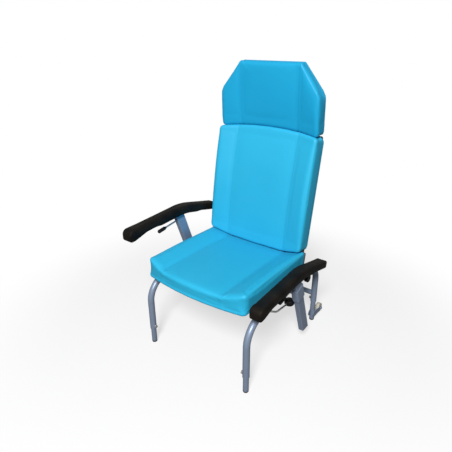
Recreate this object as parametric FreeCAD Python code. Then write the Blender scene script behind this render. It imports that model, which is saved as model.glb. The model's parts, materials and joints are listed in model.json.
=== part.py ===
import FreeCAD, Part
import math
import os

# A reclining care chair, in millimetres. +X is the sitter's left, -Y the front and +Z up.
# The origin is on the floor under the middle of the chair's overall box.
# Left and right are the sitter's. The right arm is raised and the left arm is lowered.

# Side frames: bent round tube with telescopic feet
TUBE_D = 30.0
TUBE_WALL = 2.0
SIDE_SPACING = 534.0
LEG_SPACING = 608.0
RAIL_Z = 330.0
FRONT_BEND_R = 100.0
REAR_BEND_R = 85.0
FRONT_LEG_END_Z = 80.0
REAR_LEG_END_Z = 115.0
FOOT_CLEARANCE = 0.5
FOOT_WALL = 2.0
FOOT_OVERLAP = 80.0
TIP_H = 10.0
TIP_STEM = 15.0
TIP_ROUND = 6.0
BRACE_D = 25.0
BRACE_WALL = 2.0
BRACE_Z = 161.0
LOCK_SCREW_D = 6.0
LOCK_SCREW_HEAD_D = 14.0
LOCK_SCREW_HEAD_H = 7.0
LOCK_SCREW_RISE = 15.0
LOCK_SCREW_GAP = 0.2

# Transport wheels behind the rear feet
WHEEL_D = 50.0
WHEEL_Z = 33.0
WHEEL_TRAIL = 75.0
WHEEL_ROUND = 4.0
WHEEL_DISH_INNER_R = 9.0
WHEEL_DISH_OUTER_R = 17.0
WHEEL_DISH_DEPTH = 4.0
AXLE_D = 8.0
AXLE_HEAD_D = 14.0
AXLE_HEAD_H = 4.0
CHEEK_T = 3.0
CHEEK_GAP = 1.0
CHEEK_AXLE_R = 11.0
CHEEK_FOOT_R = 17.0
CHEEK_FOOT_Z = 38.0
WEB_GAP = 2.5
WEB_H = 30.0

# Armrests: pad on a rectangular upright that slides in a slanted guide
ARM_OVERHANG = 72.0
ARM_TILT = 20.0
ARM_TRAVEL = 189.0
UPRIGHT_W = 25.0
UPRIGHT_DEPTH = 50.0
UPRIGHT_WALL = 2.0
UPRIGHT_ROUND = 4.0
UPRIGHT_BOTTOM_DROP = 69.0
PLUG_DEPTH = 15.0
GUIDE_FROM_FRONT_LEG = 343.0
GUIDE_DROP = 8.0
GUIDE_LENGTH = 70.0
GUIDE_WALL = 3.0
GUIDE_WELD_GAP = 4.2
GUIDE_SADDLE_LENGTH = 40.0
GUIDE_SADDLE_H = 24.0
LINER_T = 2.0
LINER_FLANGE = 2.0
SLIDE_CLEARANCE = 0.3
STOP_SCREW_D = 6.0
STOP_SCREW_HEAD_D = 13.0
STOP_SCREW_HEAD_H = 5.0
STOP_SCREW_REACH = 1.5
PAD_RISE = 249.5
PAD_W = 56.0
PAD_T = 38.0
PAD_NOSE_LENGTH = 305.0
PAD_NOSE_DROP = 15.0
PAD_NOSE_FLAT = 30.0
PAD_NOSE_RAMP = 70.0
PAD_BEND_R = 370.0
PAD_BEND_ANGLE = 16.5
PAD_REAR_LENGTH = 188.0
PAD_PITCH = 2.0
PAD_EDGE_ROUND = 8.0
PAD_CORNER_R = 10.0
PAD_NOSE_TOP_R = 24.0
PAD_NOSE_BOTTOM_R = 13.0
PAD_RAMP_R = 40.0
PLATE_T = 5.0
PLATE_W = 44.0
PLATE_FRONT = 110.0
PLATE_REAR_LENGTH = 25.0

# Arm release levers
LEVER_D = 8.0
LEVER_LENGTH = 148.0
LEVER_DROP_ANGLE = 6.6
LEVER_SWING = 8.0
LEVER_BELOW_PAD = 26.0
LEVER_PIN_D = 6.0
LEVER_PIN_CLEARANCE = 0.05
LEVER_SLOT_CLEARANCE = 1.0
LEVER_SLOT_SIDE = 0.5
GRIP_D = 17.0
GRIP_LENGTH = 44.0
GRIP_ROUND = 5.0
GRIP_NECK = 5.0
GRIP_NECK_D = 11.0

# Seat
SEAT_OVERHANG = 34.0
SEAT_BASE_RISE = 44.0
SEAT_TILT = 2.1
SEAT_T = 65.0
SEAT_BOLSTER = 33.0
SEAT_BOW = 28.0
SEAT_PAST_PIVOT = 20.0
SEAT_PAST_RAIL = 8.0
SEAT_PANEL_W = 314.0
SEAT_CROWN = 5.0
SEAT_CORNER_R = 15.0
CUSHION_EDGE = 14.0
CUSHION_CORNER_R = 15.0
CUSHION_BASE_R = 9.0
CORNER_SHRINK = 0.4
CUSHION_TUCK = 3.0
EDGE_ANGLES = (0, 35, 90)
BASE_INSET = 0.3
SEAT_BOARD_T = 12.0
SEAT_BOARD_INSET = 30.0
SEAT_BOARD_CORNER_R = 50.0
BAR_DEPTH = 40.0
BAR_H = 25.0
BAR_WALL = 2.0
BAR_ON_RAIL = 10.0
FRONT_BAR_SETBACK = 135.0
REAR_BAR_AHEAD = 100.0

# Backrest
PIVOT_AHEAD = 146.0
PIVOT_D = 12.0
PIVOT_HEAD_D = 20.0
PIVOT_HEAD_H = 8.0
PIVOT_NUT_H = 8.0
PIVOT_CLEARANCE = 0.05
BUSH_WALL = 3.0
BUSH_FLANGE_D = 26.0
CAP_D = 38.0
CAP_H = 17.0
CAP_RIBS = 16
CAP_GROOVE_R = 2.2
CAP_EDGE = 3.0
BACK_SETBACK = 56.0
BACK_RISE = 125.0
BACK_LEAN = 9.6
BACK_HEIGHT = 496.0
BACK_T = 63.0
BACK_PANEL_W = 314.0
BACK_CROWN = 12.0
BACK_BOLSTER = 30.0
BACK_BOW_BOTTOM = 30.0
BACK_CORNER_DROP = 5.0
BACK_BOW_TOP = 23.0
BACK_PAST_RAIL = 4.0
PANEL_BOARD_T = 8.0
BACK_BOARD_BOTTOM = 10.0
BACK_BOARD_TOP_GAP = 14.0
BACK_BOARD_CORNER_R = 40.0
UPRIGHT_TUBE_D = 25.0
UPRIGHT_TUBE_WALL = 2.0
UPRIGHT_TUBE_DROP = 95.0
LOWER_TUBE_DROP = 57.0
UPPER_TUBE_DROP = 76.0
HINGE_PLATE_T = 6.0
HINGE_PLATE_GAP = 13.5
HINGE_PLATE_PIVOT_R = 19.0
HINGE_PLATE_KNEE_R = 13.0
HINGE_PLATE_WELD_R = 12.0
HINGE_KNEE_BACK = 46.0
HINGE_KNEE_UP = 8.0

# Headrest
HEAD_TILT = 13.6
HEAD_BACKSET = 1.0
HEAD_RISE = 14.0
HEAD_CORNER_RISE = 3.0
HEAD_HEIGHT = 297.0
HEAD_SIDE_HEIGHT = 172.0
HEAD_TOP_W = 304.0
HEAD_T = 54.0
HEAD_PANEL_W = 290.0
HEAD_CROWN = 4.0
HEAD_BOLSTER = 22.0
HEAD_BOW = 18.0
HEAD_INSIDE_RAIL = 2.0
HEAD_BOARD_INSET = 22.0
HINGE_BODY_D = 30.0
HINGE_BODY_W = 26.0
HINGE_BODY_ROUND = 3.0
HINGE_STEM = 40.0
HINGE_AXIS_RISE = -7.0
HINGE_PIN_D = 10.0
HINGE_PIN_HEAD_D = 16.0
HINGE_PIN_HEAD_H = 3.0
HEAD_ARM_T = 5.0
HEAD_ARM_GAP = 0.6
HEAD_ARM_HINGE_R = 15.0
HEAD_ARM_END_R = 12.0
HEAD_ARM_REACH = 95.0

# Recline control: bent rod on a cross shaft under the seat, with a knob on the left
ROD_D = 9.0
SHAFT_BEHIND_FRONT_LEG = 162.0
SHAFT_UNDER_RAIL = 1.0
SHAFT_CLEARANCE = 0.1
ROD_INSIDE_RAIL = 5.0
ROD_KNEE_BACK = 74.0
ROD_KNEE_DROP = 49.0
ROD_END_BACK = 179.0
ROD_END_DROP = 61.0
ROD_ELBOW_R = 18.0
ROD_KNEE_R = 70.0
SHAFT_PAST_MIDDLE = 6.0
FINGER_W = 8.0
FINGER_REACH = 34.0
FINGER_DROP = 4.0
FINGER_HUB_R = 8.0
FINGER_TIP_R = 4.0
KNOB_D = 46.0
KNOB_H = 30.0
KNOB_ROUND = 11.0
KNOB_PAST_ROD = 12.0
BEARING_T = 4.0
BEARING_R = 10.0
BEARING_TOP_R = 14.0
BEARING_TOP_AHEAD = 40.0
BEARING_TOP_RISE = 30.0
BEARING_FROM_MIDDLE = 40.0
BEARING_FROM_RAIL = 24.0

# Gas spring between the front seat bar and a lug on the backrest
GAS_FRONT_DROP = 42.0
GAS_LEVER_R = 70.0
GAS_LEVER_ANGLE = 8.0
GAS_PIN_D = 10.0
GAS_PIN_CLEARANCE = 0.05
GAS_REAR_PIN_CLEARANCE = 3.0
GAS_PIN_HEAD_D = 16.0
GAS_PIN_HEAD_H = 3.0
GAS_EYE_W = 24.0
GAS_EYE_GAP = 1.0
GAS_EAR_T = 4.0
GAS_EAR_R = 12.0
GAS_EAR_TOP_R = 16.0
GAS_HEAD_R = 11.0
GAS_NECK_R = 9.0
GAS_NECK_LENGTH = 34.0
GAS_ROD_D = 10.0
GAS_ROD_LENGTH = 200.0
GAS_ROD_SEAT = 18.0
GAS_ROD_CLEARANCE = 0.1
GAS_PISTON_T = 16.0
GAS_PISTON_CLEARANCE = 0.3
GAS_CYLINDER_D = 28.0
GAS_CYLINDER_WALL = 3.0
GAS_CYLINDER_FRONT = 150.0
GAS_CYLINDER_END = 12.0
GAS_CYLINDER_REAR_GAP = 26.0
GAS_TAIL_R = 8.0
GAS_EYE_R = 14.0

# Places worked out from the driving dimensions
SIDE_X = SIDE_SPACING / 2
RAIL_INNER_X = SIDE_X - TUBE_D / 2
RAIL_OUTER_X = SIDE_X + TUBE_D / 2
DEPTH = ARM_OVERHANG + LEG_SPACING + WHEEL_TRAIL + WHEEL_D / 2
FRONT_LEG_Y = ARM_OVERHANG - DEPTH / 2
REAR_LEG_Y = FRONT_LEG_Y + LEG_SPACING
FOOT_D = TUBE_D - 2 * TUBE_WALL - 2 * FOOT_CLEARANCE
WHEEL_W = FOOT_D - CHEEK_T - 2 * CHEEK_GAP
PIVOT_Y = REAR_LEG_Y - PIVOT_AHEAD
PIVOT_Z = RAIL_Z
GUIDE_HALF_W = UPRIGHT_W / 2 + SLIDE_CLEARANCE + LINER_T + GUIDE_WALL
ARM_X = RAIL_OUTER_X + GUIDE_WELD_GAP + GUIDE_HALF_W
GUIDE_Y = FRONT_LEG_Y + GUIDE_FROM_FRONT_LEG
GUIDE_Z = RAIL_Z - GUIDE_DROP
PAD_BEND_Y = FRONT_LEG_Y - ARM_OVERHANG + PAD_NOSE_LENGTH
PAD_Z = RAIL_Z + PAD_RISE
SEAT_FRONT_Y = FRONT_LEG_Y - SEAT_OVERHANG
SEAT_DEPTH = PIVOT_Y + SEAT_PAST_PIVOT - SEAT_FRONT_Y
SEAT_HALF = RAIL_INNER_X + SEAT_PAST_RAIL
BACK_HALF = RAIL_INNER_X + BACK_PAST_RAIL
HEAD_HALF = RAIL_INNER_X - HEAD_INSIDE_RAIL
BACK_Y = PIVOT_Y + BACK_SETBACK
BACK_Z = PIVOT_Z + BACK_RISE
HINGE_PLATE_X = RAIL_INNER_X - HINGE_PLATE_GAP
BACK_TUBE_X = HINGE_PLATE_X - HINGE_PLATE_T - UPRIGHT_TUBE_D / 2
HEAD_HINGE_RISE = BACK_HEIGHT + HINGE_AXIS_RISE
ROD_X = SIDE_X - ROD_INSIDE_RAIL
SHAFT_Y = FRONT_LEG_Y + SHAFT_BEHIND_FRONT_LEG
SHAFT_Z = RAIL_Z - TUBE_D / 2 - ROD_D / 2 - SHAFT_UNDER_RAIL
WHEEL_Y = REAR_LEG_Y + WHEEL_TRAIL


def vec(x, y, z):
    return FreeCAD.Vector(x, y, z)


X_AXIS = vec(1, 0, 0)


def degrees_sin(angle):
    return math.sin(math.radians(angle))


def degrees_cos(angle):
    return math.cos(math.radians(angle))


def turned(shape, angle, base):
    """The shape turned about X at the frame's origin, then moved to base."""
    copy = shape.copy()
    copy.Placement = FreeCAD.Placement(base, FreeCAD.Rotation(X_AXIS, angle)).multiply(copy.Placement)
    return copy


def other_side(shape):
    return shape.mirror(vec(0, 0, 0), X_AXIS)


def pair(shape):
    """A left piece and its mirror image, as one group of separate solids."""
    return Part.makeCompound([shape, other_side(shape)])


def round_bar(radius, start, end):
    """A cylinder from one point to another."""
    run = end - start
    return Part.makeCylinder(radius, run.Length, start, run)


def corner_arc(before, corner, after, radius):
    """Start, middle and end of the arc that rounds one corner."""
    to_before = (before - corner).normalize()
    to_after = (after - corner).normalize()
    half = to_before.getAngle(to_after) / 2
    setback = radius / math.tan(half)
    inward = (to_before + to_after).normalize()
    middle = corner + inward * (radius / math.sin(half) - radius)
    return corner + to_before * setback, middle, corner + to_after * setback


def bent_path(points, radii):
    """An open wire of straight runs with a tangent arc at each inner point."""
    edges = []
    start = points[0]
    for before, corner, after, radius in zip(points, points[1:], points[2:], radii):
        first, middle, last = corner_arc(before, corner, after, radius)
        edges.append(Part.LineSegment(start, first).toShape())
        edges.append(Part.Arc(first, middle, last).toShape())
        start = last
    edges.append(Part.LineSegment(start, points[-1]).toShape())
    return Part.Wire(edges)


def bent_bar(points, radii, diameter):
    """A round bar swept along a bent path."""
    circle = Part.Circle(points[0], points[1] - points[0], diameter / 2).toShape()
    return bent_path(points, radii).makePipe(Part.Face(Part.Wire(circle)))


def rounded_face(points, radii):
    """A flat face whose outline has an arc at each corner with a radius."""
    edges = []
    count = len(points)
    ends = []
    for index, radius in enumerate(radii):
        corner = points[index]
        if radius:
            first, middle, last = corner_arc(points[index - 1], corner, points[(index + 1) % count], radius)
            edges.append(Part.Arc(first, middle, last).toShape())
            ends.append((first, last))
        else:
            ends.append((corner, corner))
    for index in range(count):
        start = ends[index][1]
        end = ends[(index + 1) % count][0]
        edges.append(Part.LineSegment(start, end).toShape())
    return Part.Face(Part.Wire(Part.__sortEdges__(edges)))


def side_profile(points, radii, width, middle_x):
    """A profile drawn in the side view, given as (y, z) points, and as wide as width."""
    start_x = middle_x - width / 2
    face = rounded_face([vec(start_x, y, z) for y, z in points], radii)
    return face.extrude(vec(width, 0, 0))


def link_plate(first, first_r, second, second_r, thickness, middle_x):
    """A flat link in the side view: two round ends joined by their tangents."""
    along = math.atan2(second[1] - first[1], second[0] - first[0])
    reach = math.hypot(second[0] - first[0], second[1] - first[1])
    spread = math.acos((first_r - second_r) / reach)
    start_x = middle_x - thickness / 2

    def rim(centre, radius, angle):
        return vec(start_x, centre[0] + radius * math.cos(angle), centre[1] + radius * math.sin(angle))

    upper = Part.LineSegment(rim(first, first_r, along + spread), rim(second, second_r, along + spread))
    lower = Part.LineSegment(rim(second, second_r, along - spread), rim(first, first_r, along - spread))
    far = Part.Arc(upper.EndPoint, rim(second, second_r, along), lower.StartPoint)
    near = Part.Arc(lower.EndPoint, rim(first, first_r, along + math.pi), upper.StartPoint)
    outline = Part.Wire([upper.toShape(), far.toShape(), lower.toShape(), near.toShape()])
    return Part.Face(outline).extrude(vec(thickness, 0, 0))


def cross_pin(diameter, head_d, head_h, half_length, y, z):
    """A pin along X through the chair's middle, with a head at its left end."""
    shank = round_bar(diameter / 2, vec(-half_length, y, z), vec(half_length, y, z))
    head = round_bar(head_d / 2, vec(half_length, y, z), vec(half_length + head_h, y, z))
    return shank.fuse(head).removeSplitter()


def rounded_prism(width, depth, radius, low, high):
    """An upright prism with rounded corners, centred on the Z axis."""
    corners = [(-1, -1), (1, -1), (1, 1), (-1, 1)]
    points = [vec(side * width / 2, end * depth / 2, low) for side, end in corners]
    return rounded_face(points, [radius] * 4).extrude(vec(0, 0, high - low))


# Side frames and feet


def side_points():
    """Corners of the bent side tube, from the front leg's end to the rear leg's end."""
    return [
        vec(SIDE_X, FRONT_LEG_Y, FRONT_LEG_END_Z),
        vec(SIDE_X, FRONT_LEG_Y, RAIL_Z),
        vec(SIDE_X, REAR_LEG_Y, RAIL_Z),
        vec(SIDE_X, REAR_LEG_Y, REAR_LEG_END_Z),
    ]


def side_tube(diameter):
    return bent_bar(side_points(), [FRONT_BEND_R, REAR_BEND_R], diameter)


def lock_screw(leg_y, leg_end_z):
    """A headed set screw through the leg's inner wall that clamps the foot tube."""
    z = leg_end_z + LOCK_SCREW_RISE
    tip_x = SIDE_X - FOOT_D / 2 - LOCK_SCREW_GAP
    head_x = SIDE_X - TUBE_D / 2
    shank = round_bar(LOCK_SCREW_D / 2, vec(tip_x, leg_y, z), vec(head_x, leg_y, z))
    head_end = vec(head_x - LOCK_SCREW_HEAD_H, leg_y, z)
    head = round_bar(LOCK_SCREW_HEAD_D / 2, vec(head_x, leg_y, z), head_end)
    return shank.fuse(head).removeSplitter()


def pivot_bar(radius, start_x, end_x):
    return round_bar(radius, vec(start_x, PIVOT_Y, PIVOT_Z), vec(end_x, PIVOT_Y, PIVOT_Z))


def foot(leg_y, leg_end_z):
    """The foot tube that slides in a leg, and the tip that plugs its lower end."""
    axis_low = vec(SIDE_X, leg_y, TIP_H)
    axis_high = vec(SIDE_X, leg_y, leg_end_z + FOOT_OVERLAP)
    bore = FOOT_D / 2 - FOOT_WALL
    tube = round_bar(FOOT_D / 2, axis_low, axis_high).cut(round_bar(bore, axis_low, axis_high))
    dome = round_bar(FOOT_D / 2, vec(SIDE_X, leg_y, 0), axis_low)
    lower_rim = [edge for edge in dome.Edges if edge.BoundBox.ZMax < TIP_H / 2]
    dome = dome.makeFillet(TIP_ROUND, lower_rim)
    stem = round_bar(bore, axis_low, vec(SIDE_X, leg_y, TIP_H + TIP_STEM))
    return tube, dome.fuse(stem).removeSplitter()


def wheel_bracket():
    """Two cheeks and a web welded behind the rear foot, with the wheel's riveted axle."""
    cheek_x = WHEEL_W / 2 + CHEEK_GAP + CHEEK_T / 2
    axle = (WHEEL_Y, WHEEL_Z)
    seat = (REAR_LEG_Y, CHEEK_FOOT_Z)
    cheeks = [
        link_plate(axle, CHEEK_AXLE_R, seat, CHEEK_FOOT_R, CHEEK_T, SIDE_X + side * cheek_x)
        for side in (-1, 1)
    ]
    half = cheek_x + CHEEK_T / 2
    web_low = vec(SIDE_X - half, REAR_LEG_Y + FOOT_D / 2 + WEB_GAP, CHEEK_FOOT_Z - WEB_H / 2)
    web = Part.makeBox(2 * half, CHEEK_T, WEB_H, web_low)
    pin = round_bar(AXLE_D / 2, vec(SIDE_X - half, *axle), vec(SIDE_X + half, *axle))
    heads = [
        round_bar(AXLE_HEAD_D / 2, vec(SIDE_X + side * half, *axle),
                  vec(SIDE_X + side * (half + AXLE_HEAD_H), *axle))
        for side in (-1, 1)
    ]
    foot_tube = round_bar(FOOT_D / 2, vec(SIDE_X, REAR_LEG_Y, 0), vec(SIDE_X, REAR_LEG_Y, REAR_LEG_END_Z))
    return web.fuse(cheeks + [pin] + heads).cut(foot_tube).removeSplitter()


def wheel():
    """A moulded wheel with a rounded tread and a dish in each side."""
    start = vec(SIDE_X - WHEEL_W / 2, WHEEL_Y, WHEEL_Z)
    end = vec(SIDE_X + WHEEL_W / 2, WHEEL_Y, WHEEL_Z)
    disc = round_bar(WHEEL_D / 2, start, end)
    rims = [edge for edge in disc.Edges if edge.Curve.TypeId == "Part::GeomCircle"]
    disc = disc.makeFillet(WHEEL_ROUND, rims)
    depth = vec(WHEEL_DISH_DEPTH, 0, 0)
    for face_point, inner_point in ((start, start + depth), (end, end - depth)):
        dish = round_bar(WHEEL_DISH_OUTER_R, face_point, inner_point)
        disc = disc.cut(dish.cut(round_bar(WHEEL_DISH_INNER_R, face_point, inner_point)))
    return disc.cut(round_bar(AXLE_D / 2 + PIVOT_CLEARANCE, start, end))


def frame_pieces():
    outer = side_tube(TUBE_D)
    front_screw = lock_screw(FRONT_LEG_Y, FRONT_LEG_END_Z)
    rear_screw = lock_screw(REAR_LEG_Y, REAR_LEG_END_Z)
    pivot_hole = pivot_bar(PIVOT_D / 2, RAIL_INNER_X, RAIL_OUTER_X)
    side = outer.cut(side_tube(TUBE_D - 2 * TUBE_WALL))
    side = side.cut(pivot_hole).cut(front_screw).cut(rear_screw)
    brace_ends = [vec(side_x, REAR_LEG_Y, BRACE_Z) for side_x in (-SIDE_X, SIDE_X)]
    brace = round_bar(BRACE_D / 2, *brace_ends).cut(round_bar(BRACE_D / 2 - BRACE_WALL, *brace_ends))
    brace = brace.cut(outer).cut(other_side(outer))
    screws = [front_screw, rear_screw, other_side(front_screw), other_side(rear_screw)]
    pieces = {
        "side_frame_left": side,
        "side_frame_right": other_side(side),
        "rear_leg_brace": brace,
        "leg_lock_screws": Part.makeCompound(screws),
    }
    front_tube, front_tip = foot(FRONT_LEG_Y, FRONT_LEG_END_Z)
    rear_tube, rear_tip = foot(REAR_LEG_Y, REAR_LEG_END_Z)
    lefts = {
        "front_foot_tube": front_tube,
        "front_foot_tip": front_tip,
        "rear_foot_tube": rear_tube,
        "rear_foot_tip": rear_tip,
        "wheel_bracket": wheel_bracket(),
        "wheel": wheel(),
    }
    for name, shape in lefts.items():
        pieces[name + "_left"] = shape
        pieces[name + "_right"] = other_side(shape)
    return pieces


# Seat


def arc_sag(radius):
    """How far the middle of a quarter round stays inside its sharp corner, along each side."""
    return radius * (1 - math.sqrt(0.5))


def cushion_section(x, start, end, base, top, corner, crown):
    """One slice of a cushion: flat base, tucked ends, crowned top and rounded corners."""
    foot = CUSHION_BASE_R
    sag = arc_sag(corner)
    foot_sag = arc_sag(foot)
    middle = (start + end) / 2
    half = (base + foot + top - corner) / 2
    marks = [
        (start + foot, base), (end - foot, base), (end - foot_sag, base + foot_sag),
        (end, base + foot), (end - CUSHION_TUCK, half), (end, top - corner),
        (end - sag, top - sag), (end - corner, top), (middle, top + crown),
        (start + corner, top), (start + sag, top - sag), (start, top - corner),
        (start + CUSHION_TUCK, half), (start, base + foot), (start + foot_sag, base + foot_sag),
    ]
    points = [vec(x, along, height) for along, height in marks]
    edges = [Part.LineSegment(points[0], points[1]).toShape()]
    for first in range(1, len(points) - 1, 2):
        last = points[(first + 2) % len(points)]
        edges.append(Part.Arc(points[first], points[first + 1], last).toShape())
    return Part.Wire(edges)


def cushion(half_width, start_at, end_at, top_at, base, corner_r, crown, inner_stations):
    """A cushion lofted across its width, with rounded sides and a fold at each inner station."""
    stations = []
    for angle in EDGE_ANGLES:
        inset = CUSHION_EDGE * (1 - degrees_sin(angle))
        stations.append((half_width - CUSHION_EDGE * (1 - degrees_cos(angle)), inset))
    stations += [(x, 0.0) for x in sorted(inner_stations, reverse=True)]
    mirrored = [(-x, inset) for x, inset in reversed(stations)]
    slices = []
    for x, inset in stations + [(0.0, 0.0)] + mirrored:
        across = abs(x)
        low = base + inset * BASE_INSET
        high = top_at(across) - inset
        corner = corner_r - CORNER_SHRINK * inset
        start = start_at(across) + inset
        end = end_at(across) - inset
        slices.append(cushion_section(x, start, end, low, high, corner, crown))
    return Part.makeLoft(slices, True, True)


def bolster_top(middle, rise, panel_w, half_width):
    """Height of a cushion's face: a flat middle panel, then a bolster that rises to the side."""
    fold = panel_w / 2

    def height(x):
        return middle + rise * max(0.0, x - fold) / (half_width - fold)

    return height


def bowed(middle, bow, half_width):
    """An edge that is drawn as a shallow parabola, bow at the sides and none at the middle."""

    def place(x):
        return middle + bow * (x / half_width) ** 2

    return place


def flat(value):
    def place(x):
        return value

    return place


def in_seat(shape):
    return turned(shape, -SEAT_TILT, vec(0, SEAT_FRONT_Y, RAIL_Z + SEAT_BASE_RISE))


def seat_bar(setback):
    """A rectangular tube under the seat board, coped over both side rails."""
    length = 2 * (RAIL_INNER_X + BAR_ON_RAIL)
    low = vec(-length / 2, setback - BAR_DEPTH / 2, -SEAT_BOARD_T - BAR_H)
    bar = Part.makeBox(length, BAR_DEPTH, BAR_H, low)
    inside = Part.makeBox(length, BAR_DEPTH - 2 * BAR_WALL, BAR_H - 2 * BAR_WALL,
                          low + vec(0, BAR_WALL, BAR_WALL))
    outer = side_tube(TUBE_D)
    return in_seat(bar.cut(inside)).cut(outer).cut(other_side(outer)), in_seat(bar)


def seat_pieces():
    bolster_middle = (SEAT_PANEL_W / 2 + SEAT_HALF - CUSHION_EDGE) / 2
    soft = cushion(SEAT_HALF, bowed(0.0, SEAT_BOW, SEAT_HALF), flat(SEAT_DEPTH),
                   bolster_top(SEAT_T, SEAT_BOLSTER, SEAT_PANEL_W, SEAT_HALF), 0.0,
                   SEAT_CORNER_R, SEAT_CROWN, [SEAT_PANEL_W / 4, SEAT_PANEL_W / 2, bolster_middle])
    half = SEAT_HALF - SEAT_BOARD_INSET
    front = SEAT_BOW + SEAT_BOARD_INSET / 2
    rear = SEAT_DEPTH - SEAT_BOARD_INSET / 2
    corners = [vec(-half, front, -SEAT_BOARD_T), vec(half, front, -SEAT_BOARD_T),
               vec(half, rear, -SEAT_BOARD_T), vec(-half, rear, -SEAT_BOARD_T)]
    board = rounded_face(corners, [SEAT_BOARD_CORNER_R] * 4).extrude(vec(0, 0, SEAT_BOARD_T))
    return {
        "seat_cushion": in_seat(soft),
        "seat_board": in_seat(board),
        "front_seat_bar": seat_bar(FRONT_BAR_SETBACK)[0],
        "rear_seat_bar": seat_bar(SEAT_DEPTH - REAR_BAR_AHEAD)[0],
    }


# Backrest


def back_point(rise, forward, x=0.0):
    """A point given by its height up the back and its distance in front of the back's rear plane."""
    y = BACK_Y + rise * degrees_sin(BACK_LEAN) - forward * degrees_cos(BACK_LEAN)
    z = BACK_Z + rise * degrees_cos(BACK_LEAN) + forward * degrees_sin(BACK_LEAN)
    return vec(x, y, z)


def in_back(shape):
    """Stands up a piece that is drawn lying on its rear face."""
    return turned(shape, 90 - BACK_LEAN, vec(0, BACK_Y, BACK_Z))


def tube_line(rise, x=0.0):
    return back_point(rise, -UPRIGHT_TUBE_D / 2, x)


def back_cross_tube(rise):
    bore = UPRIGHT_TUBE_D / 2 - UPRIGHT_TUBE_WALL
    ends = [tube_line(rise, -BACK_TUBE_X), tube_line(rise, BACK_TUBE_X)]
    tube = round_bar(UPRIGHT_TUBE_D / 2, *ends).cut(round_bar(bore, *ends))
    for x in (-BACK_TUBE_X, BACK_TUBE_X):
        post = round_bar(UPRIGHT_TUBE_D / 2, tube_line(-UPRIGHT_TUBE_DROP, x), tube_line(BACK_HEIGHT, x))
        tube = tube.cut(post)
    return tube


def head_hinge_bar(radius, start_x, end_x):
    return round_bar(radius, tube_line(HEAD_HINGE_RISE, start_x), tube_line(HEAD_HINGE_RISE, end_x))


def hinge_plate():
    """The cranked plate that hangs an upright tube on its pivot."""
    middle_x = HINGE_PLATE_X - HINGE_PLATE_T / 2
    pivot = (PIVOT_Y, PIVOT_Z)
    knee = (PIVOT_Y + HINGE_KNEE_BACK, PIVOT_Z + HINGE_KNEE_UP)
    weld = tube_line(-UPRIGHT_TUBE_DROP / 2)
    weld_place = (weld.y, weld.z)
    lower = link_plate(pivot, HINGE_PLATE_PIVOT_R, knee, HINGE_PLATE_KNEE_R, HINGE_PLATE_T, middle_x)
    upper = link_plate(knee, HINGE_PLATE_KNEE_R, weld_place, HINGE_PLATE_WELD_R, HINGE_PLATE_T, middle_x)
    bore = pivot_bar(PIVOT_D / 2 + PIVOT_CLEARANCE + BUSH_WALL, 0, SIDE_X)
    return lower.fuse(upper).cut(bore).removeSplitter()


def pivot_bush():
    """A flanged plastic bush in the hinge plate, turning on the pivot bolt."""
    body_r = PIVOT_D / 2 + PIVOT_CLEARANCE + BUSH_WALL
    flange_end = HINGE_PLATE_X + HINGE_PLATE_GAP - SLIDE_CLEARANCE
    body = pivot_bar(body_r, HINGE_PLATE_X - HINGE_PLATE_T, HINGE_PLATE_X)
    flange = pivot_bar(BUSH_FLANGE_D / 2, HINGE_PLATE_X, flange_end)
    return body.fuse(flange).cut(pivot_bar(PIVOT_D / 2 + PIVOT_CLEARANCE, 0, SIDE_X)).removeSplitter()


def pivot_bolt():
    """The shoulder bolt through the rail, and the nut on its inner end."""
    nut_x = HINGE_PLATE_X - HINGE_PLATE_T - SLIDE_CLEARANCE
    shank = pivot_bar(PIVOT_D / 2, nut_x - PIVOT_NUT_H, RAIL_OUTER_X)
    head = pivot_bar(PIVOT_HEAD_D / 2, RAIL_OUTER_X, RAIL_OUTER_X + PIVOT_HEAD_H)
    nut = pivot_bar(PIVOT_HEAD_D / 2, nut_x - PIVOT_NUT_H, nut_x)
    return shank.fuse([head, nut]).removeSplitter()


def pivot_cap():
    """A ribbed cap pressed over the bolt head."""
    end_x = RAIL_OUTER_X + CAP_H
    cap = pivot_bar(CAP_D / 2, RAIL_OUTER_X, end_x)
    front_rim = [edge for edge in cap.Edges if edge.BoundBox.XMin > end_x - CAP_H / 2]
    cap = cap.makeChamfer(CAP_EDGE, front_rim)
    cap = cap.cut(pivot_bar(PIVOT_HEAD_D / 2, RAIL_OUTER_X, RAIL_OUTER_X + PIVOT_HEAD_H))
    for rib in range(CAP_RIBS):
        angle = 360.0 * rib / CAP_RIBS
        y = PIVOT_Y + CAP_D / 2 * degrees_cos(angle)
        z = PIVOT_Z + CAP_D / 2 * degrees_sin(angle)
        cap = cap.cut(round_bar(CAP_GROOVE_R, vec(RAIL_OUTER_X, y, z), vec(end_x, y, z)))
    return cap


def head_hinge():
    """A moulded hinge body on the end of an upright tube, with a stem inside the tube."""
    half = HINGE_BODY_W / 2
    body = head_hinge_bar(HINGE_BODY_D / 2, BACK_TUBE_X - half, BACK_TUBE_X + half)
    rims = [edge for edge in body.Edges if edge.Curve.TypeId == "Part::GeomCircle"]
    body = body.makeFillet(HINGE_BODY_ROUND, rims)
    stem_r = UPRIGHT_TUBE_D / 2 - UPRIGHT_TUBE_WALL
    stem_low = tube_line(HEAD_HINGE_RISE - HINGE_STEM, BACK_TUBE_X)
    stem = round_bar(stem_r, stem_low, tube_line(HEAD_HINGE_RISE, BACK_TUBE_X))
    bore = head_hinge_bar(HINGE_PIN_D / 2 + PIVOT_CLEARANCE, 0, SIDE_X)
    return body.fuse(stem).cut(bore).removeSplitter()


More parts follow.
